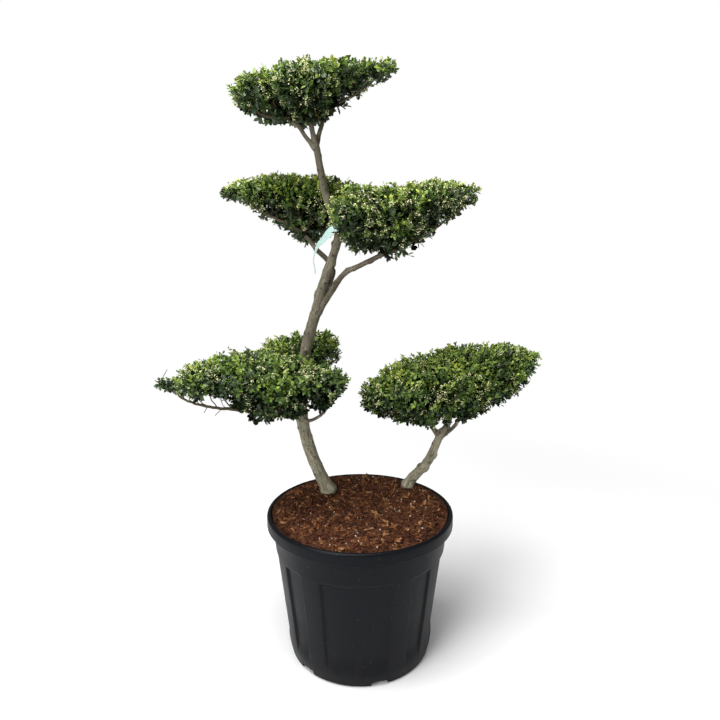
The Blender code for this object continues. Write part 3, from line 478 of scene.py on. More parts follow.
# Stems and boughs: guides along the middle line, each as x, y, z and radius in metres
stemFoot = 0.3933
limbs = {
    "main_stem": [
        (-0.088, 0.095, stemFoot, 0.0245), (-0.100, 0.0945, 0.418, 0.0182), (-0.133, 0.090, 0.499, 0.0170),
        (-0.158, 0.080, 0.607, 0.0166), (-0.160, 0.065, 0.695, 0.0158), (-0.144, 0.050, 0.802, 0.0146),
        (-0.114, 0.035, 0.908, 0.0138), (-0.087, 0.020, 1.000, 0.0112), (-0.056, 0.020, 1.089, 0.0101),
        (-0.051, 0.020, 1.123, 0.0100), (-0.080, 0.020, 1.183, 0.0097), (-0.096, 0.005, 1.258, 0.0084),
        (-0.107, 0.000, 1.322, 0.0075)],
    "side_stem": [
        (0.136, 0.132, stemFoot, 0.0190), (0.147, 0.133, 0.412, 0.0150), (0.188, 0.130, 0.458, 0.0128),
        (0.214, 0.120, 0.516, 0.0116), (0.228, 0.110, 0.563, 0.0106)],
    "bough_middle_right": [
        (-0.112, 0.033, 0.904, 0.0080), (-0.092, 0.025, 0.932, 0.0078), (-0.070, 0.010, 0.964, 0.0074),
        (-0.035, -0.020, 1.010, 0.0068), (0.000, -0.040, 1.027, 0.0062), (0.056, -0.070, 1.054, 0.0055)],
    "bough_middle_left": [
        (-0.096, 0.030, 0.953, 0.0076), (-0.079, 0.045, 0.982, 0.0074), (-0.071, 0.056, 1.010, 0.0070),
        (-0.076, 0.064, 1.028, 0.0067), (-0.112, 0.080, 1.066, 0.0062), (-0.143, 0.093, 1.104, 0.0056)],
    "bough_lower_left": [
        (-0.157, 0.077, 0.620, 0.0090), (-0.192, 0.055, 0.626, 0.0080), (-0.239, 0.030, 0.640, 0.0070),
        (-0.262, 0.020, 0.646, 0.0066)],
    "bough_lower_front": [
        (-0.160, 0.072, 0.652, 0.0080), (-0.163, 0.047, 0.668, 0.0070), (-0.168, 0.024, 0.685, 0.0062)],
    "bough_lower_back": [
        (-0.160, 0.068, 0.662, 0.0080), (-0.166, 0.100, 0.678, 0.0070), (-0.172, 0.128, 0.702, 0.0062)],
    "bough_lower_right": [
        (-0.157, 0.079, 0.612, 0.0048), (-0.138, 0.052, 0.613, 0.0044), (-0.112, 0.030, 0.629, 0.0040),
        (-0.074, -0.004, 0.676, 0.0036)],
    "bough_top_centre": [
        (-0.1065, 0.000, 1.316, 0.0058), (-0.112, -0.003, 1.336, 0.0054), (-0.118, -0.008, 1.362, 0.0048)],
    "bough_top_left": [
        (-0.106, 0.000, 1.302, 0.0052), (-0.117, 0.001, 1.315, 0.0050), (-0.130, 0.003, 1.330, 0.0048),
        (-0.146, 0.005, 1.353, 0.0045), (-0.166, 0.005, 1.367, 0.0042)],
    "bough_top_right": [
        (-0.1065, 0.000, 1.308, 0.0054), (-0.101, 0.005, 1.328, 0.0052), (-0.094, 0.010, 1.352, 0.0049),
        (-0.087, 0.018, 1.380, 0.0045)],
    "bough_right_middle": [
        (0.2265, 0.1105, 0.557, 0.0088), (0.241, 0.105, 0.579, 0.0082), (0.251, 0.100, 0.612, 0.0075)],
    "bough_right_left": [
        (0.225, 0.1115, 0.551, 0.0068), (0.206, 0.115, 0.573, 0.0062), (0.189, 0.119, 0.600, 0.0056)],
    "bough_right_right": [
        (0.226, 0.1115, 0.549, 0.0054), (0.252, 0.098, 0.572, 0.0050), (0.277, 0.082, 0.612, 0.0045)],
}
barkLook = {
    "stemStep": 0.0030, "stemSides": 32, "boughSides": 18, "flareWave": 0.05, "flareLength": 0.030,
    "flareLobes": 5, "ridge": 0.00060, "lump": 0.085, "collar": 0.50, "collarLength": 0.010,
    "greyLight": "#aea992", "greyDark": "#615b49", "olive": "#7f7b66", "lenticel": "#2a231a",
    # the dark tone and the heights after it are painted shade: the bark turns darker higher up, under the
    # clouds
    "brownLight": "#817866", "brownDark": "#3a3127", "scar": "#1f1812", "paintedShadeTone": "#3d372b",
    "paintedShadeHeights": (0.47, 0.86), "paintedShadeShare": 0.66,
    # knots on the stems: share of the length, turn from the back in degrees, height, size
    "knots": {
        "main_stem": [(0.070, 150, 0.0032, 0.006), (0.120, 205, 0.0022, 0.004), (0.165, 235, 0.0026, 0.005),
                      (0.215, 130, 0.0020, 0.005), (0.330, 250, 0.0024, 0.006), (0.443, 182, 0.0030, 0.0055),
                      (0.490, 120, 0.0022, 0.005), (0.545, 215, 0.0024, 0.004), (0.600, 95, 0.0030, 0.006),
                      (0.635, 200, 0.0026, 0.005), (0.678, 262, 0.0036, 0.012), (0.707, 180, 0.0026, 0.005),
                      (0.737, 118, 0.0038, 0.005), (0.800, 160, 0.0020, 0.004), (0.860, 230, 0.0022, 0.005),
                      (0.930, 140, 0.0018, 0.004)],
        "side_stem": [(0.16, 200, 0.0026, 0.005), (0.36, 92, 0.0034, 0.006), (0.39, 268, 0.0034, 0.006),
                      (0.52, 190, 0.0024, 0.004), (0.62, 262, 0.0034, 0.006), (0.80, 120, 0.0026, 0.005)],
        "bough_middle_right": [(0.40, 120, 0.0018, 0.005), (0.66, 200, 0.0016, 0.004),
                               (0.85, 250, 0.0016, 0.004)],
        "bough_middle_left": [(0.35, 200, 0.0018, 0.005), (0.70, 150, 0.0016, 0.004)]},
    "knotScale": (1.75, 1.40),  # height, width
    "smallKnots": {"main_stem": 46, "side_stem": 18, "bough_middle_right": 14, "bough_middle_left": 9},
    "smallKnotHeight": (0.0008, 0.0019), "smallKnotWidth": (0.0030, 0.0056),
}


def smoothPath(rows, step):
    # a smooth line through guides given as x, y, z and radius
    guides = [Vector(row[:3]) for row in rows]
    count = len(guides)
    spans = [(guides[i + 1] - guides[i]).length for i in range(count - 1)]
    slopes = [(guides[1] - guides[0]) / spans[0]]
    for i in range(1, count - 1):
        before = (guides[i] - guides[i - 1]) / spans[i - 1]
        after = (guides[i + 1] - guides[i]) / spans[i]
        slopes.append((before * spans[i] + after * spans[i - 1]) / (spans[i] + spans[i - 1]))
    slopes.append((guides[-1] - guides[-2]) / spans[-1])
    points, radii = [guides[0]], [rows[0][3]]
    for i in range(count - 1):
        pieces = max(1, round(spans[i] / step))
        for k in range(1, pieces + 1):
            t = k / pieces
            a = guides[i] * (2 * t**3 - 3 * t**2 + 1) + guides[i + 1] * (3 * t**2 - 2 * t**3)
            b = slopes[i] * (t**3 - 2 * t**2 + t) + slopes[i + 1] * (t**3 - t**2)
            points.append(a + b * spans[i])
            radii.append(rows[i][3] + (rows[i + 1][3] - rows[i][3]) * t)
    return points, radii


def headingsOf(points):
    last = len(points) - 1
    return [(points[min(i + 1, last)] - points[max(i - 1, 0)]).normalized() for i in range(last + 1)]


def barkMaterial(name, dark, light, tone, seed):
    # Thin smooth bark: streaks along the limb, dark lenticels across it, lichen-grey patches, and painted
    # shade darkening it higher up, under the clouds
    look = barkLook
    made, tree, place = newMaterial(name)
    wrap = addNode(tree, "UVMap")
    along = addNode(tree, "Mapping", {"Vector": wrap, "Location": (seed, seed, 0.0),
                                      "Scale": (190.0, 20.0, 1.0)})
    streaks = addNode(tree, "TexNoise", {"Vector": along, "Scale": 1.0, "Detail": 7.0, "Roughness": 0.78})
    patches = addNode(tree, "TexNoise", {"Vector": place, "Scale": 38.0, "Detail": 5.0, "Roughness": 0.6})
    streaked = addNode(tree, "MapRange", {"Value": streaks, "From Min": 0.40, "From Max": 0.60})
    patched = addNode(tree, "MapRange", {"Value": patches, "From Min": 0.45, "From Max": 0.66,
                                         "To Max": 0.75})
    # painted shade: darker from the lower height to the upper, where the clouds shade the limbs
    height = addNode(tree, "SeparateXYZ", {"Vector": place}, "Z")
    low, high = look["paintedShadeHeights"]
    paintedShade = addNode(tree, "MapRange", {"Value": height, "From Min": low, "From Max": high,
                                         "To Max": look["paintedShadeShare"]})
    lentilPlace = addNode(tree, "Mapping", {"Vector": wrap, "Scale": (85.0, 170.0, 1.0)})
    cells = addNode(tree, "TexVoronoi", {"Vector": lentilPlace, "Scale": 1.0})
    lentils = addNode(tree, "MapRange", {"Value": cells, "From Min": 0.30, "From Max": 0.16, "To Max": 0.85})
    gate = addNode(tree, "MapRange", {"Value": patches, "From Min": 0.46, "From Max": 0.54})
    spots = addNode(tree, "Math", {0: lentils, 1: gate}, operation="MULTIPLY")
    scars = addNode(tree, "Attribute", output="Fac", attribute_name="scar")
    colour = linear(dark)
    for share, paint in ((streaked, light), (patched, tone), (paintedShade, look["paintedShadeTone"]),
                         (spots, look["lenticel"]), (scars, look["scar"])):
        colour = addNode(tree, "Mix", {0: share, 6: colour, 7: linear(paint)}, 2, data_type="RGBA")
    relief = addNode(tree, "Math", {0: streaks, 1: spots}, operation="ADD")
    bump = addNode(tree, "Bump", {"Height": relief, "Strength": 0.6, "Distance": 0.0010})
    shader = addNode(tree, "BsdfPrincipled", {"Base Color": colour, "Roughness": 0.82,
                                              "Specular IOR Level": 0.3, "Normal": bump})
    addNode(tree, "OutputMaterial", {"Surface": shader})
    return made


def barkRadius(name, turn, travel, radius, place):
    look = barkLook
    size = radius
    if name.endswith("stem"):
        wave = look["flareWave"] * max(0.0, 1.0 - travel / look["flareLength"])
        size *= 1.0 + wave * math.cos(look["flareLobes"] * turn)
    else:
        size *= 1.0 + look["collar"] * math.exp(-max(0.0, travel - 0.010) / look["collarLength"])
    size *= 1.0 + look["lump"] * noise.noise(place * 42.0) + 0.035 * noise.noise(place * 95.0)
    ridges = noise.noise(Vector((math.cos(turn) * 5.0, math.sin(turn) * 5.0, travel * 55.0)))
    return size + look["ridge"] * ridges * min(1.0, radius / 0.010)


def knotsOf(name):
    look = barkLook
    taller, wider = look["knotScale"]
    knots = [(share, degrees, height * taller, spread * wider)
             for share, degrees, height, spread in look["knots"].get(name, [])]
    rng = np.random.default_rng(40 + len(knots))
    for _ in range(look["smallKnots"].get(name, 5)):
        knots.append((rng.uniform(0.04, 0.97), rng.uniform(0.0, 360.0), rng.uniform(*look["smallKnotHeight"]),
                      rng.uniform(*look["smallKnotWidth"])))
    return knots


def makeLimb(name, finish):
    look = barkLook
    stem = name.endswith("stem")
    sides = look["stemSides"] if stem else look["boughSides"]
    points, radii = smoothPath(limbs[name], look["stemStep"])
    ways = headingsOf(points)
    knots = knotsOf(name)
    work = bmesh.new()
    wrap = work.loops.layers.uv.new("UVMap")
    scar = work.verts.layers.float.new("scar")
    across = Vector((0.0, 1.0, 0.0))
    ring = bmesh.ops.create_circle(work, segments=sides, radius=radii[0])["verts"]
    bmesh.ops.contextual_create(work, geom=ring)
    edges = work.edges[:]
    rings, travels = [ring], [0.0]
    for i in range(1, len(points)):
        fresh, edges = extrudeOn(work, edges)
        rings.append(nextRing(rings[-1], fresh))
        travels.append(travels[-1] + (points[i] - points[i - 1]).length)
    for i, ring in enumerate(rings):
        across = (across - ways[i] * across.dot(ways[i])).normalized()
        up = ways[i].cross(across)
        near = [knot for knot in knots if abs(travels[i] - knot[0] * travels[-1]) < 3.0 * knot[3]]
        for k, vert in enumerate(ring):
            turn = math.tau * k / sides
            rim = across * math.cos(turn) + up * math.sin(turn)
            size = barkRadius(name, turn, travels[i], radii[i], points[i] + rim * radii[i])
            for share, degrees, height, spread in near:
                apart = math.hypot(travels[i] - share * travels[-1],
                                   radii[i] * math.remainder(turn - math.radians(degrees), math.tau))
                bulge = height * math.exp(-(apart / spread) ** 2)
                size += bulge - 0.6 * height * math.exp(-(apart / spread * 2.6) ** 2)  # hollow in its middle
                vert[scar] = max(vert[scar], 0.95 * math.exp(-(apart / spread * 2.1) ** 4))
            vert.co = points[i] + rim * size
            if stem and i == 0:
                vert.co.z = points[0].z
    bmesh.ops.contextual_create(work, geom=rings[-1])
    places = {vert: (k, i) for i, ring in enumerate(rings) for k, vert in enumerate(ring)}
    for face in work.faces:
        turns = [places[loop.vert][0] for loop in face.loops]
        for loop, k in zip(face.loops, turns):
            if k == 0 and max(turns) == sides - 1:
                k = sides
            loop[wrap].uv = (k / sides * math.tau * limbs[name][0][3], travels[places[loop.vert][1]])
    bmesh.ops.recalc_face_normals(work, faces=work.faces[:])
    addPiece(name + "_bark", meshFromWork(work), [finish], [name])


def makeLimbs():
    look = barkLook
    grey = barkMaterial("Grey holly bark", look["greyDark"], look["greyLight"], look["olive"], 0.0)
    brown = barkMaterial("Brown holly bark", look["brownDark"], look["brownLight"], look["greyLight"], 3.0)
    for name in limbs:
        makeLimb(name, grey if name.endswith("stem") else brown)


makeLimbs()
print("stems and boughs made")


# Clouds: lobes as x, y, z, width, depth, rise, drop, in metres on a 5 mm grid.
# Each is a domed pad round its widest level. Bare twigs are given by their two ends.
clouds = {
    "cloud_top": {"boughs": ["bough_top_centre", "bough_top_left", "bough_top_right"],
        "tone": 0.0, "flowers": 1.25, "limbs": [
            {"bough": 1, "sizes": (0.0042, 0.0012), "guides": [
                (-0.214, -0.004, 1.374), (-0.247, -0.010, 1.384), (-0.270, -0.010, 1.402),
                (-0.293, -0.004, 1.417)]},
            {"bough": 2, "sizes": (0.0040, 0.0012), "guides": [
                (-0.048, 0.004, 1.408), (-0.028, -0.004, 1.415), (0.012, -0.012, 1.437),
                (0.048, -0.012, 1.463)]}],
        "lobes": [
            (-0.125, -0.010, 1.420, 0.105, 0.145, 0.060, 0.070),
            (-0.205, 0.010, 1.420, 0.110, 0.105, 0.050, 0.060),
            (-0.040, 0.010, 1.460, 0.085, 0.095, 0.040, 0.035),
            (0.040, 0.000, 1.475, 0.055, 0.060, 0.025, 0.020)]},
    "cloud_middle_left": {"boughs": ["bough_middle_left"],
        "tone": 0.06, "flowers": 1.15, "limbs": [
            {"bough": 0, "sizes": (0.0050, 0.0013), "guides": [
                (-0.183, 0.088, 1.130), (-0.230, 0.080, 1.152), (-0.267, 0.084, 1.170),
                (-0.305, 0.096, 1.190)]}],
        "lobes": [
            (-0.140, 0.130, 1.200, 0.115, 0.105, 0.060, 0.125),
            (-0.235, 0.115, 1.220, 0.095, 0.090, 0.040, 0.075),
            (-0.325, 0.110, 1.215, 0.045, 0.045, 0.020, 0.030),
            (-0.050, 0.120, 1.195, 0.085, 0.090, 0.045, 0.070)]},
    "cloud_middle_right": {"boughs": ["bough_middle_right"],
        "tone": -0.02, "flowers": 1.15, "limbs": [
            {"bough": 0, "sizes": (0.0050, 0.0013), "guides": [
                (0.085, -0.076, 1.064), (0.136, -0.080, 1.090), (0.178, -0.078, 1.115),
                (0.206, -0.074, 1.136), (0.240, -0.066, 1.163)]}],
        "lobes": [
            (0.080, -0.080, 1.150, 0.115, 0.100, 0.055, 0.110),
            (0.175, -0.070, 1.175, 0.085, 0.090, 0.045, 0.060),
            (0.245, -0.060, 1.195, 0.045, 0.050, 0.020, 0.030),
            (0.010, -0.065, 1.150, 0.090, 0.075, 0.060, 0.110)]},
    "cloud_lower_left": {"boughs": ["bough_lower_left"], "joins": "cloud_lower_front",
        "tone": -0.15, "flowers": 0.60, "limbs": [
            {"bough": 0, "sizes": (0.0062, 0.0018), "risers": 12, "guides": [
                (-0.283, 0.010, 0.651), (-0.325, 0.002, 0.657), (-0.370, -0.006, 0.664),
                (-0.414, -0.013, 0.674), (-0.454, -0.022, 0.695), (-0.476, -0.028, 0.714),
                (-0.492, -0.034, 0.726)]}],
        "bare": [((-0.353, 0.000, 0.660), (-0.371, -0.022, 0.648)),
                 ((-0.385, -0.006, 0.667), (-0.399, -0.022, 0.655)),
                 ((-0.500, -0.035, 0.732), (-0.513, -0.040, 0.745)),
                 ((-0.500, -0.035, 0.732), (-0.505, -0.036, 0.752))],
        "lobes": [
            (-0.250, -0.060, 0.745, 0.080, 0.110, 0.075, 0.105),
            (-0.320, -0.050, 0.745, 0.080, 0.095, 0.070, 0.050),
            (-0.400, -0.040, 0.730, 0.065, 0.080, 0.060, 0.040),
            (-0.485, -0.035, 0.730, 0.035, 0.040, 0.025, 0.025)]},
    "cloud_lower_front": {"boughs": ["bough_lower_front", "bough_lower_right"], "joins": "cloud_lower_left",
        "tone": -0.15, "flowers": 0.60, "limbs": [],
        "lobes": [
            (-0.180, -0.050, 0.730, 0.085, 0.100, 0.075, 0.090),
            (-0.105, -0.040, 0.735, 0.080, 0.090, 0.050, 0.075)]},
    "cloud_lower_back": {"boughs": ["bough_lower_back"],
        "tone": -0.04, "flowers": 0.50, "limbs": [],
        "lobes": [
            (-0.175, 0.185, 0.760, 0.100, 0.095, 0.075, 0.070),
            (-0.255, 0.180, 0.750, 0.065, 0.070, 0.055, 0.050),
            (-0.110, 0.175, 0.775, 0.060, 0.075, 0.070, 0.065)]},
    "cloud_right": {"boughs": ["bough_right_middle", "bough_right_left", "bough_right_right"],
        "tone": -0.03, "flowers": 0.60, "limbs": [
            {"bough": 1, "sizes": (0.0044, 0.0012), "guides": [
                (0.149, 0.113, 0.603), (0.112, 0.104, 0.613), (0.078, 0.096, 0.626)]},
            {"bough": 2, "sizes": (0.0040, 0.0012), "guides": [
                (0.302, 0.072, 0.636), (0.334, 0.066, 0.662), (0.368, 0.066, 0.694),
                (0.400, 0.070, 0.730)]}],
        "lobes": [
            (0.290, 0.090, 0.710, 0.115, 0.130, 0.105, 0.105),
            (0.175, 0.090, 0.690, 0.125, 0.135, 0.090, 0.110),
            (0.085, 0.090, 0.670, 0.090, 0.095, 0.060, 0.075),
            (0.390, 0.090, 0.745, 0.080, 0.105, 0.070, 0.080),
            (0.450, 0.085, 0.775, 0.045, 0.050, 0.030, 0.030)]},
}
growth = {
    "seed": 7, "room": 60000, "domePower": 2.4, "undersidePower": 1.5, "blend": 6.0, "seam": -0.12,
    "lumpHeight": 0.082, "lumpScale": 132.0,  # shears leave lumps about 5 cm apart
    "pathCost": 0.5, "closed": 9.0,  # so long a way from the stem that nothing more branches there
    "bow": 0.30, "tipRadius": 0.00055, "thicken": 3.0, "firstStretch": 0.02, "wander": 0.05,
    "sampleStep": 0.005, "limbStep": 0.010, "limbWander": 0.0012, "lobeStep": 0.02, "shootStep": 0.016,
    "riserLean": ((-0.032, 0.032), (-0.035, 0.010), (0.024, 0.050)), "riserStep": 0.012,
    "riserRadius": (0.0008, 0.0016), "bareStep": 0.006, "bareRadius": 0.0010,
    "limbClear": 0.004, "leafClear": 0.002, "tipMargin": 0.02, "thickTwig": 0.0014, "twigSides": (6, 3),
    # from the inside out: depth under the outline, spacing of shoots, leaves a shoot, leaf length and
    # spacing, and how much darker the leaves are than outside, which is painted shade deep in the clouds
    "layers": [
        {"depth": (0.036, 0.200), "spacing": 0.0190, "leaves": 7, "length": (0.017, 0.025),
         "step": 0.0045, "shadeDim": 0.72},
        {"depth": (0.019, 0.036), "spacing": 0.0168, "leaves": 7, "length": (0.013, 0.019),
         "step": 0.0038, "shadeDim": 0.28},
        {"depth": (0.006, 0.019), "spacing": 0.0124, "leaves": 8, "length": (0.0105, 0.0162),
         "step": 0.0028, "shadeDim": 0.0}],
    "underLeaf": 0.35, "thinBelow": 0.62, "thinInside": 0.50, "proudShare": 0.08,
    "proudReach": (0.004, 0.012), "yellowShare": 0.0015,
    "bright": (0.48, 0.36, 0.16, 0.55),  # everywhere, by height, by distance from the middle, by patches; height and distance lighten it for young growth and as painted light from above
    "toneSteps": (0.92, 0.60, 0.26, -0.10, -0.50),  # below each, the next darker leaf
    "flowerShare": 0.40, "flowerPatch": 2.4, "flowers": (6, 13), "flowerSize": (0.0013, 0.0021),
}
# Japanese holly: small leathery leaves, glossy above. New growth yellow-green, old leaves deep green
# The shaded and inner tints are painted shade for leaves deep in the clouds, and they shine less so that they
# reflect little
leafTints = [
    ("Young holly leaves", "#a0ae4a", 0.48, 0.45), ("Fresh holly leaves", "#7c933c", 0.46, 0.45),
    ("Holly leaves", "#4f682c", 0.42, 0.45), ("Old holly leaves", "#34452a", 0.40, 0.40),
    ("Shaded holly leaves", "#1e2713", 0.44, 0.25), ("Inner holly leaves", "#0a110a", 0.60, 0.10),
    ("Yellowing leaves", "#9a8a3c", 0.50, 0.30)]
flowerTints = [("Cream flower buds", "#ebe4b8", 0.55, 0.3), ("Green flower buds", "#bfc283", 0.55, 0.3)]


def lobeValue(lobe, points):
    x, y, z, width, depth, rise, drop = lobe
    across = np.hypot((points[:, 0] - x) / width, (points[:, 1] - y) / depth)
    lift = points[:, 2] - z
    power = np.where(lift > 0.0, growth["domePower"], growth["undersidePower"])
    level = np.where(lift > 0.0, lift / rise, -lift / drop)
    return (across**power + level**power) ** (1.0 / power)


def cloudValue(name, points, merged=False):
    lobes = list(clouds[name]["lobes"])
    if merged and "joins" in clouds[name]:
        lobes += clouds[clouds[name]["joins"]]["lobes"]
    held = sum(np.maximum(lobeValue(lobe, points), 0.05) ** -growth["blend"] for lobe in lobes)
    x, y, z = points.T * growth["lumpScale"]
    wave = np.sin(x + 1.7 * np.sin(0.8 * y + 2.1)) * np.cos(y - 1.3 * np.sin(0.9 * z))
    wave += 0.6 * np.sin(1.9 * x + 2.3 * z) * np.sin(2.1 * y + 1.1 * x)
    return held ** (-1.0 / growth["blend"]) / (1.0 + growth["lumpHeight"] * wave)


def depthUnder(name, points):
    value = cloudValue(name, points, True)
    step = 0.001
    slopes = [(cloudValue(name, points + np.eye(3)[i] * step, True) - value) / step for i in range(3)]
    return (1.0 - value) / np.maximum(np.linalg.norm(slopes, axis=0), 1.0)


def limbSamples():
    rows = []
    for guides in limbs.values():
        points, radii = smoothPath(guides, growth["sampleStep"])
        rows += [(*point, radius) for point, radius in zip(points, radii)]
    return np.array(rows)


samples = limbSamples()


def limbDistance(points):
    low, high = points.min(axis=0) - 0.03, points.max(axis=0) + 0.03
    near = samples[((samples[:, :3] > low) & (samples[:, :3] < high)).all(axis=1)]
    best = np.full(len(points), 1.0)
    for row in near:
        best = np.minimum(best, np.linalg.norm(points - row[:3], axis=1) - row[3])
    return best


def isFree(name, points, limit, clearance, margin=0.0):
    own = cloudValue(name, points)
    free = (cloudValue(name, points, True) <= limit) & (limbDistance(points) > clearance)
    for other in clouds:
        if other != name:  # two that grow into each other share a seam, with no gap
            apart = growth["seam"] if other == clouds[name].get("joins") else margin
            free &= cloudValue(other, points) >= own + apart
    low, high = np.array(cadBox[0]) + 0.001, np.array(cadBox[1]) - 0.001
    return free & ((points > low) & (points < high)).all(axis=1)


def lobeRange(name):
    lobes = np.array(clouds[name]["lobes"])
    low = (lobes[:, :3] - lobes[:, [3, 4, 6]]).min(axis=0)
    high = (lobes[:, :3] + lobes[:, [3, 4, 5]]).max(axis=0)
    return low, high


def spreadTips(name, layer, rng):
    low, high = lobeRange(name)
    count = int(np.prod(high - low) / layer["spacing"] ** 3 * 5.0)
    points = rng.uniform(low, high, (count, 3))
    depth = depthUnder(name, points)
    points = points[(depth > layer["depth"][0]) & (depth < layer["depth"][1])]
    points = points[isFree(name, points, 1.0, growth["limbClear"], growth["tipMargin"])]
    held, cells, spacing = [], {}, layer["spacing"]
    for point in points:
        cell = tuple((point // spacing).astype(int))
        close = False
        for i in (-1, 0, 1):
            for j in (-1, 0, 1):
                for k in (-1, 0, 1):
                    for other in cells.get((cell[0] + i, cell[1] + j, cell[2] + k), ()):
                        if ((point - other) ** 2).sum() < spacing * spacing:
                            close = True
                            break
        if not close:
            cells.setdefault(cell, []).append(point)
            held.append(point)
    return np.array(held)


def growCloud(name, rng):
    room = growth["room"]
    nodes, lengths, floors = np.zeros((room, 3)), np.zeros(room), np.zeros(room)
    parents, count = [], 0

    def addNodeAt(point, parent, floor=0.0):
        nonlocal count
        nodes[count] = point
        floors[count] = floor
        lengths[count] = lengths[parent] + np.linalg.norm(point - nodes[parent]) if parent >= 0 else 0.0
        parents.append(parent)
        count += 1
        return count - 1

    roots, foots = [], []
    for bough in clouds[name]["boughs"]:
        points, radii = smoothPath(limbs[bough], growth["sampleStep"])
        foot, heading = np.array(points[-1]), np.array(headingsOf(points)[-1])
        foots.append(addNodeAt(foot - heading * 0.002, -1))
        roots.append(addNodeAt(foot + heading * growth["firstStretch"] * 0.5, foots[-1], radii[-1] * 0.92))
    lengths[foots] = growth["closed"]

    def reachFor(goal, step, near=None, floor=0.0):
        if near is None:
            costs = np.linalg.norm(nodes[:count] - goal, axis=1) + growth["pathCost"] * lengths[:count]
            near = int(costs.argmin())
        start, before = nodes[near], nodes[parents[near]]
        span = float(np.linalg.norm(goal - start))
        if span < 0.003:
            return None
        onward = (start - before) / max(1e-6, np.linalg.norm(start - before))
        bend = start + onward * span * growth["bow"]
        pieces = max(1, round(span / step))
        last = near
        for k in range(1, pieces + 1):
            t = k / pieces
            point = start * (1 - t) ** 2 + bend * (2 * t * (1 - t)) + goal * t**2
            if k < pieces:
                point = point + rng.uniform(-1.0, 1.0, 3) * growth["wander"] * span
            last = addNodeAt(point, last, floor)
        return last

    for limb in clouds[name]["limbs"]:
        start = roots[limb["bough"]]
        guides = [tuple(nodes[start]), *limb["guides"]]
        sizes = np.linspace(*limb["sizes"], len(guides))
        path, sizes = smoothPath([(*guide, size) for guide, size in zip(guides, sizes)], growth["limbStep"])
        last, run, wander = start, [], growth["limbWander"]
        for point, size in zip(path[1:], sizes[1:]):
            last = addNodeAt(np.array(point) + rng.uniform(-wander, wander, 3), last, size)
            run.append(last)
        for near in run[2::max(1, len(run) // limb.get("risers", 1))] if "risers" in limb else []:
            lean = np.array([rng.uniform(*span) for span in growth["riserLean"]])
            reachFor(nodes[near] + lean, growth["riserStep"], near, rng.uniform(*growth["riserRadius"]))
    for start, end in clouds[name].get("bare", []):
        near, first = int(np.linalg.norm(nodes[:count] - np.array(start), axis=1).argmin()), count
        reachFor(np.array(end), growth["bareStep"], near, growth["bareRadius"])
        lengths[first:count] = growth["closed"]
    for lobe in clouds[name]["lobes"]:
        reachFor(np.array(lobe[:3]), growth["lobeStep"])
    shoots = []
    for index, layer in enumerate(growth["layers"]):
        tips = spreadTips(name, layer, rng)
        order = np.argsort(np.linalg.norm(tips - nodes[foots[0]], axis=1))
        for tip in tips[order]:
            lift, _ = placeInCloud(name, tip)
            if index < 2 and lift < -0.2 and rng.random() < growth["thinInside"]:
                continue
            if index == 2:
                thin = growth["thinBelow"] * (0.45 - lift)
                if lift < 0.0 and rng.random() < thin and noise.noise(Vector(tip) * 24.0) > -0.2:
                    continue
                if lift > 0.5 and rng.random() < growth["proudShare"]:
                    tip = tip + np.array((0.0, 0.0, rng.uniform(*growth["proudReach"])))
            end = reachFor(tip, growth["shootStep"])
            if end is not None:
                shoots.append((end, index))
    return nodes[:count], np.array(parents), floors[:count], shoots


def twigRadii(name, parents, floors):
    loads = np.zeros(len(parents))
    unit = growth["tipRadius"] ** growth["thicken"]
    for i in range(len(parents) - 1, -1, -1):
        loads[i] = max(loads[i], unit)
        if parents[i] >= 0:
            loads[parents[i]] += loads[i]
    largest = max(limbs[bough][-1][3] for bough in clouds[name]["boughs"]) * 0.95
    return np.maximum(np.minimum(loads ** (1.0 / growth["thicken"]), largest), floors)


def makeTwigs(name, nodes, parents, radii, finish):
    heirs = {}
    for i, parent in enumerate(parents):
        if parent >= 0 and (parent not in heirs or radii[i] > radii[heirs[parent]]):
            heirs[parent] = i
    points, faces, count = [], [], 0
    for i, parent in enumerate(parents):
        if parent < 0 or (heirs[parent] == i and parents[parent] >= 0):
            continue
        run = [parent, i]
        while run[-1] in heirs:
            run.append(heirs[run[-1]])
        sizes = [radii[k] for k in run]
        if parents[parent] >= 0:
            sizes[0] = min(sizes[0], sizes[1] * 1.15)
        line = [Vector(nodes[k]) for k in run]
        ways = headingsOf(line)
        sides = growth["twigSides"][0 if sizes[1] > growth["thickTwig"] else 1]
        across = ways[0].orthogonal().normalized()
        for point, way, size in zip(line, ways, sizes):
            across = (across - way * across.dot(way)).normalized()
            up = way.cross(across)
            for k in range(sides):
                turn = math.tau * k / sides
                points.append(point + (across * math.cos(turn) + up * math.sin(turn)) * size)
        for j in range(len(run) - 1):
            for k in range(sides):
                a, b = count + j * sides + k, count + j * sides + (k + 1) % sides
                faces += [(a, b, b + sides), (a, b + sides, a + sides)]
        top = count + (len(run) - 1) * sides
        faces += [(top, top + k, top + k + 1) for k in range(1, sides - 1)]
        count += len(run) * sides
    addPiece(name + "_twigs", meshFromArrays(np.array(points), np.array(faces)), [finish])


def placeInCloud(name, point):
    # how high over a cloud's widest level, and how far out, as shares of the nearest lobe
    lift, edge = 0.0, 9.0
    for x, y, z, width, depth, rise, drop in clouds[name]["lobes"]:
        out = math.hypot((point[0] - x) / width, (point[1] - y) / depth)
        if out < edge:
            edge = out
            lift = (point[2] - z) / (rise if point[2] > z else drop)
    return lift, edge


# Tone of a leaf: higher and further out is lighter, for young growth and as painted light from above; the
# inner layers are darker as painted shade
def brightness(name, point, layer):
    lift, edge = placeInCloud(name, point)
    patch = noise.noise(Vector(point) * 26.0) + 0.5 * noise.noise(Vector(point) * 60.0)
    base, byLift, byEdge, byPatch = growth["bright"]
    tone = base + byLift * lift + byEdge * edge + byPatch * patch + clouds[name]["tone"]
    return tone - growth["layers"][layer]["shadeDim"]


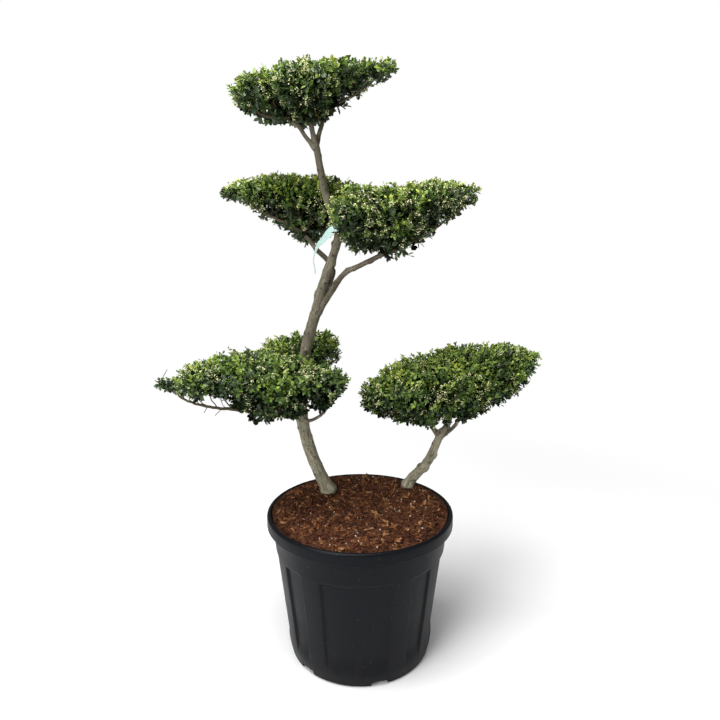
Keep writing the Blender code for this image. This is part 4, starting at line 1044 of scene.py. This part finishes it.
def leafRows(name, nodes, parents, shoots, rng):
    rows = []
    golden = math.pi * (3.0 - math.sqrt(5.0))
    for end, index in shoots:
        layer = growth["layers"][index]
        tip = nodes[end]
        way = tip - nodes[parents[end]]
        way = way / np.linalg.norm(way)
        side = np.cross(way, (0.31, 0.17, 0.93))
        side = side / np.linalg.norm(side)
        other = np.cross(way, side)
        turn = rng.uniform(0.0, math.tau)
        bright = brightness(name, tip, index)
        lift, _ = placeInCloud(name, tip)
        size = rng.uniform(*layer["length"]) * (1.0 + growth["underLeaf"] * min(1.0, max(0.0, -lift)))
        for k in range(layer["leaves"]):
            turn += golden
            spread = side * math.cos(turn) + other * math.sin(turn)
            lean = 0.22 + 0.15 * k + rng.normal(0.0, 0.10)
            aim = way * math.cos(lean) + spread * math.sin(lean)
            upward = way * 0.75 + np.array((0.0, 0.0, 0.55)) + rng.normal(0.0, 0.18, 3)
            tone = bright - 0.045 * k + rng.normal(0.0, 0.055)
            tint = sum(tone < step for step in growth["toneSteps"])
            if index > 0 and rng.random() < growth["yellowShare"]:
                tint = len(leafTints) - 1
            length = size * min(1.0, 0.62 + 0.09 * k) * rng.uniform(0.88, 1.12)
            rows.append((*(tip - way * layer["step"] * k), *aim, *upward, length, tint))
    return np.array(rows)


leafShape = {  # along, across and above the midrib, as shares of length and width: widest past the middle
    "points": [(0.0, 0.0, 0.0), (0.36, 0.0, 0.0), (0.70, 0.0, 0.0), (1.0, 0.0, 0.0),
               (0.28, 0.40, 1.0), (0.70, 0.46, 1.0), (0.28, -0.40, 1.0), (0.70, -0.46, 1.0)],
    "faces": [(0, 1, 4), (1, 5, 4), (1, 2, 5), (2, 3, 5), (0, 6, 1), (1, 6, 7), (1, 7, 2), (2, 7, 3)],
    "width": (0.50, 0.62), "fold": (-0.05, 0.22), "curl": (0.02, 0.20),
}


def makeLeaves(name, rows, rng, finishes):
    root, aim, upward = rows[:, 0:3], rows[:, 3:6], rows[:, 6:9]
    length, tints = rows[:, 9], rows[:, 10].astype(int)
    normal = upward - aim * (upward * aim).sum(axis=1)[:, None]
    normal /= np.linalg.norm(normal, axis=1)[:, None]
    across = np.cross(normal, aim)
    count = len(rows)
    width = length * rng.uniform(*leafShape["width"], count)
    fold = width * rng.uniform(*leafShape["fold"], count)
    curl = length * rng.uniform(*leafShape["curl"], count)
    points = np.zeros((count, 8, 3))
    for i, (along, side, lift) in enumerate(leafShape["points"]):
        rise = fold * lift - curl * along**2
        points[:, i] = root + aim * (length * along)[:, None] + across * (width * side)[:, None]
        points[:, i] += normal * rise[:, None]
    limit = rng.uniform(1.00, 1.12, count)
    keep = np.ones(count, bool)
    for i in (3, 5, 7):
        free = isFree(name, points[:, i], 1.15, growth["leafClear"])
        keep &= free & (cloudValue(name, points[:, i], True) < limit)
    mesh = meshOfCopies(points[keep], leafShape["faces"], tints[keep])
    addPiece(name + "_leaves", mesh, finishes, [name])
    return keep.sum()


def makeFlowers(name, nodes, parents, shoots, rng, finishes):
    middles, tints = [], []
    for end, index in shoots:
        if index != 2:
            continue
        tip = nodes[end]
        patch = noise.noise(Vector(tip) * 21.0 + Vector((5.0, 0.0, 0.0)))
        chance = growth["flowerShare"] + growth["flowerPatch"] * patch
        chance -= 0.45 * abs(brightness(name, tip, 2) - 0.50)
        if rng.random() > chance * clouds[name]["flowers"]:
            continue
        way = tip - nodes[parents[end]]
        way = way / np.linalg.norm(way)
        for _ in range(rng.integers(*growth["flowers"])):
            aside = rng.normal(0.0, 1.0, 3)
            aside = aside - way * aside.dot(way)
            aside = aside / np.linalg.norm(aside)
            middles.append(tip - way * rng.uniform(-0.007, 0.012) + aside * rng.uniform(0.001, 0.006))
            tints.append(0 if rng.random() < 0.62 else 1)
    middles, tints = np.array(middles), np.array(tints)
    keep = isFree(name, middles, 1.08, growth["leafClear"])
    middles, tints = middles[keep], tints[keep]
    count = len(middles)
    size = rng.uniform(*growth["flowerSize"], (count, 1, 1))
    corners = np.array([(1, 0, 0), (0, 1, 0), (-1, 0, 0), (0, -1, 0), (0, 0, 0.8), (0, 0, -0.8)], float)
    points = middles[:, None, :] + corners[None] * size * rng.uniform(0.75, 1.25, (count, 6, 1))
    ball = [(0, 1, 4), (1, 2, 4), (2, 3, 4), (3, 0, 4), (1, 0, 5), (2, 1, 5), (3, 2, 5), (0, 3, 5)]
    addPiece(name + "_flowers", meshOfCopies(points, ball, tints), finishes)
    return count


def plainLeafMaterial(name, colour, rough, shine):
    # A leathery leaf: plain colour, waxy gloss broken by fine cupping about 2 mm across
    made, tree, place = newMaterial(name)
    cups = addNode(tree, "TexNoise", {"Vector": place, "Scale": 450.0, "Detail": 1.0})
    bump = addNode(tree, "Bump", {"Height": cups, "Strength": 0.25, "Distance": 0.0005})
    shader = addNode(tree, "BsdfPrincipled", {"Base Color": linear(colour), "Roughness": rough,
                                              "Specular IOR Level": shine, "Normal": bump})
    addNode(tree, "OutputMaterial", {"Surface": shader})
    return made


def makeClouds():
    leafFinishes = [plainLeafMaterial(*tint) for tint in leafTints]
    flowerFinishes = [plainLeafMaterial(*tint) for tint in flowerTints]
    twigFinish = bulkMaterial("Young holly twigs", "#3a3226", "#5f553f", 120.0, 0.75)
    for number, name in enumerate(clouds):
        rng = np.random.default_rng([growth["seed"], number])
        nodes, parents, floors, shoots = growCloud(name, rng)
        radii = twigRadii(name, parents, floors)
        makeTwigs(name, nodes, parents, radii, twigFinish)
        leaves = makeLeaves(name, leafRows(name, nodes, parents, shoots, rng), rng, leafFinishes)
        flowers = makeFlowers(name, nodes, parents, shoots, rng, flowerFinishes)
        print(name, len(shoots), "shoots", leaves, "leaves", flowers, "flowers")


makeClouds()
print("foliage made")


# Blank label strip: thin polythene in pale mint, waved where it hangs and edge-on at its end
stripShape = {
    "guides": [(-0.043, 0.0090, 1.127), (-0.064, 0.0085, 1.116), (-0.090, 0.022, 1.092),
               (-0.109, 0.032, 1.070), (-0.117, 0.036, 1.040), (-0.113, 0.039, 1.005)],
    "step": 0.003, "across": 7, "width": 0.021, "thick": 0.0005, "twist": 80.0, "twistRate": 1.4,
    "cup": 0.0010, "ripple": 0.0006, "colour": "#a4bfba",
}


def makeStrip():
    s = stripShape
    points, _ = smoothPath([(*guide, 0.0) for guide in s["guides"]], s["step"])
    ways = headingsOf(points)
    work = bmesh.new()
    line = [work.verts.new((0.0, 0.0, 0.0)) for _ in range(s["across"])]
    edges = [work.edges.new(pair) for pair in zip(line, line[1:])]
    rows = [line]
    for _ in points[1:]:
        fresh, edges = extrudeOn(work, edges)
        rows.append(nextRing(rows[-1], fresh))
    for i, row in enumerate(rows):
        twist = math.radians(s["twist"]) * min(1.0, s["twistRate"] * i / (len(rows) - 1))
        flat = Vector((0.0, -1.0, 0.0)).cross(ways[i]).normalized()
        across = flat * math.cos(twist) + ways[i].cross(flat).normalized() * math.sin(twist)
        normal = ways[i].cross(across).normalized()
        for k, vert in enumerate(row):
            share = k / 3.0 - 1.0
            lift = s["cup"] * (share * share - 0.5) + s["ripple"] * math.sin(i * 0.5)
            vert.co = points[i] + across * (share * s["width"] / 2.0) + normal * lift
    bmesh.ops.recalc_face_normals(work, faces=work.faces[:])
    bmesh.ops.solidify(work, geom=work.faces[:], thickness=s["thick"])
    bmesh.ops.recalc_face_normals(work, faces=work.faces[:])
    made, tree, place = newMaterial("Mint polythene strip")
    creases = addNode(tree, "TexNoise", {"Vector": place, "Scale": 120.0, "Detail": 3.0})
    bump = addNode(tree, "Bump", {"Height": creases, "Strength": 0.25, "Distance": 0.001})
    shader = addNode(tree, "BsdfPrincipled", {"Base Color": linear(s["colour"]), "Roughness": 0.38,
                                              "IOR": 1.51, "Normal": bump})
    addNode(tree, "OutputMaterial", {"Surface": shader})
    addPiece("strip_blank", meshFromWork(work, 40.0), [made], ["label_strip"])


makeStrip()
print("label strip made")


# Studio: pale floor, a wide soft light overhead, two fills and a bright surround.
# Lights as name, place, size and power, all turned to the middle of the plant.
studio = {
    "floor": "#f4f4f4", "radius": 9.0, "fade": (0.7, 2.4), "surround": 0.33, "seen": 1.0,
    "goal": (0.0, 0.0, 0.75),
    "lights": [("overhead light", (-0.6, -0.5, 3.3), 2.4, 145.0),
               ("front light", (-1.9, -2.7, 1.9), 2.0, 85.0), ("side light", (2.5, -1.0, 1.6), 1.6, 8.0)],
}


def makeStudio():
    work = bmesh.new()
    bmesh.ops.create_circle(work, cap_ends=True, segments=96, radius=studio["radius"])
    floor = addObject("studio floor", meshFromWork(work))
    finish, tree, place = newMaterial("Pale studio floor")
    white, black = (1.0, 1.0, 1.0, 1.0), (0.0, 0.0, 0.0, 1.0)
    near, far = studio["fade"]  # the floor turns into plain white away from the pot
    reach = addNode(tree, "VectorMath", {0: place}, "Value", operation="LENGTH")
    fade = addNode(tree, "MapRange", {"Value": reach, "From Min": near, "From Max": far},
                   interpolation_type="SMOOTHSTEP")
    paint = addNode(tree, "Mix", {0: fade, 6: linear(studio["floor"]), 7: black}, 2, data_type="RGBA")
    shader = addNode(tree, "BsdfPrincipled", {"Base Color": paint, "Roughness": 0.85,
                                              "Specular IOR Level": 0.2, "Emission Color": white,
                                              "Emission Strength": fade})
    addNode(tree, "OutputMaterial", {"Surface": shader})
    floor.data.materials.append(finish)
    world = bpy.data.worlds.new("Studio surround")
    bpy.context.scene.world = world
    world.use_nodes = True
    tree = world.node_tree
    tree.nodes.clear()
    seen = addNode(tree, "LightPath", output="Is Camera Ray")
    strength = addNode(tree, "MapRange", {"Value": seen, "To Min": studio["surround"],
                                          "To Max": studio["seen"]})
    glow = addNode(tree, "Background", {"Color": white, "Strength": strength})
    addNode(tree, "OutputWorld", {"Surface": glow})
    for name, spot, size, power in studio["lights"]:
        light = bpy.data.lights.new(name, "AREA")
        light.shape = "DISK"
        light.size = size
        light.energy = power
        lamp = addObject(name, light)
        lamp.location = spot
        lamp.rotation_euler = (Vector(studio["goal"]) - Vector(spot)).to_track_quat("-Z", "Y").to_euler()
    bpy.context.scene.view_settings.view_transform = "Standard"


makeStudio()
print("studio made")
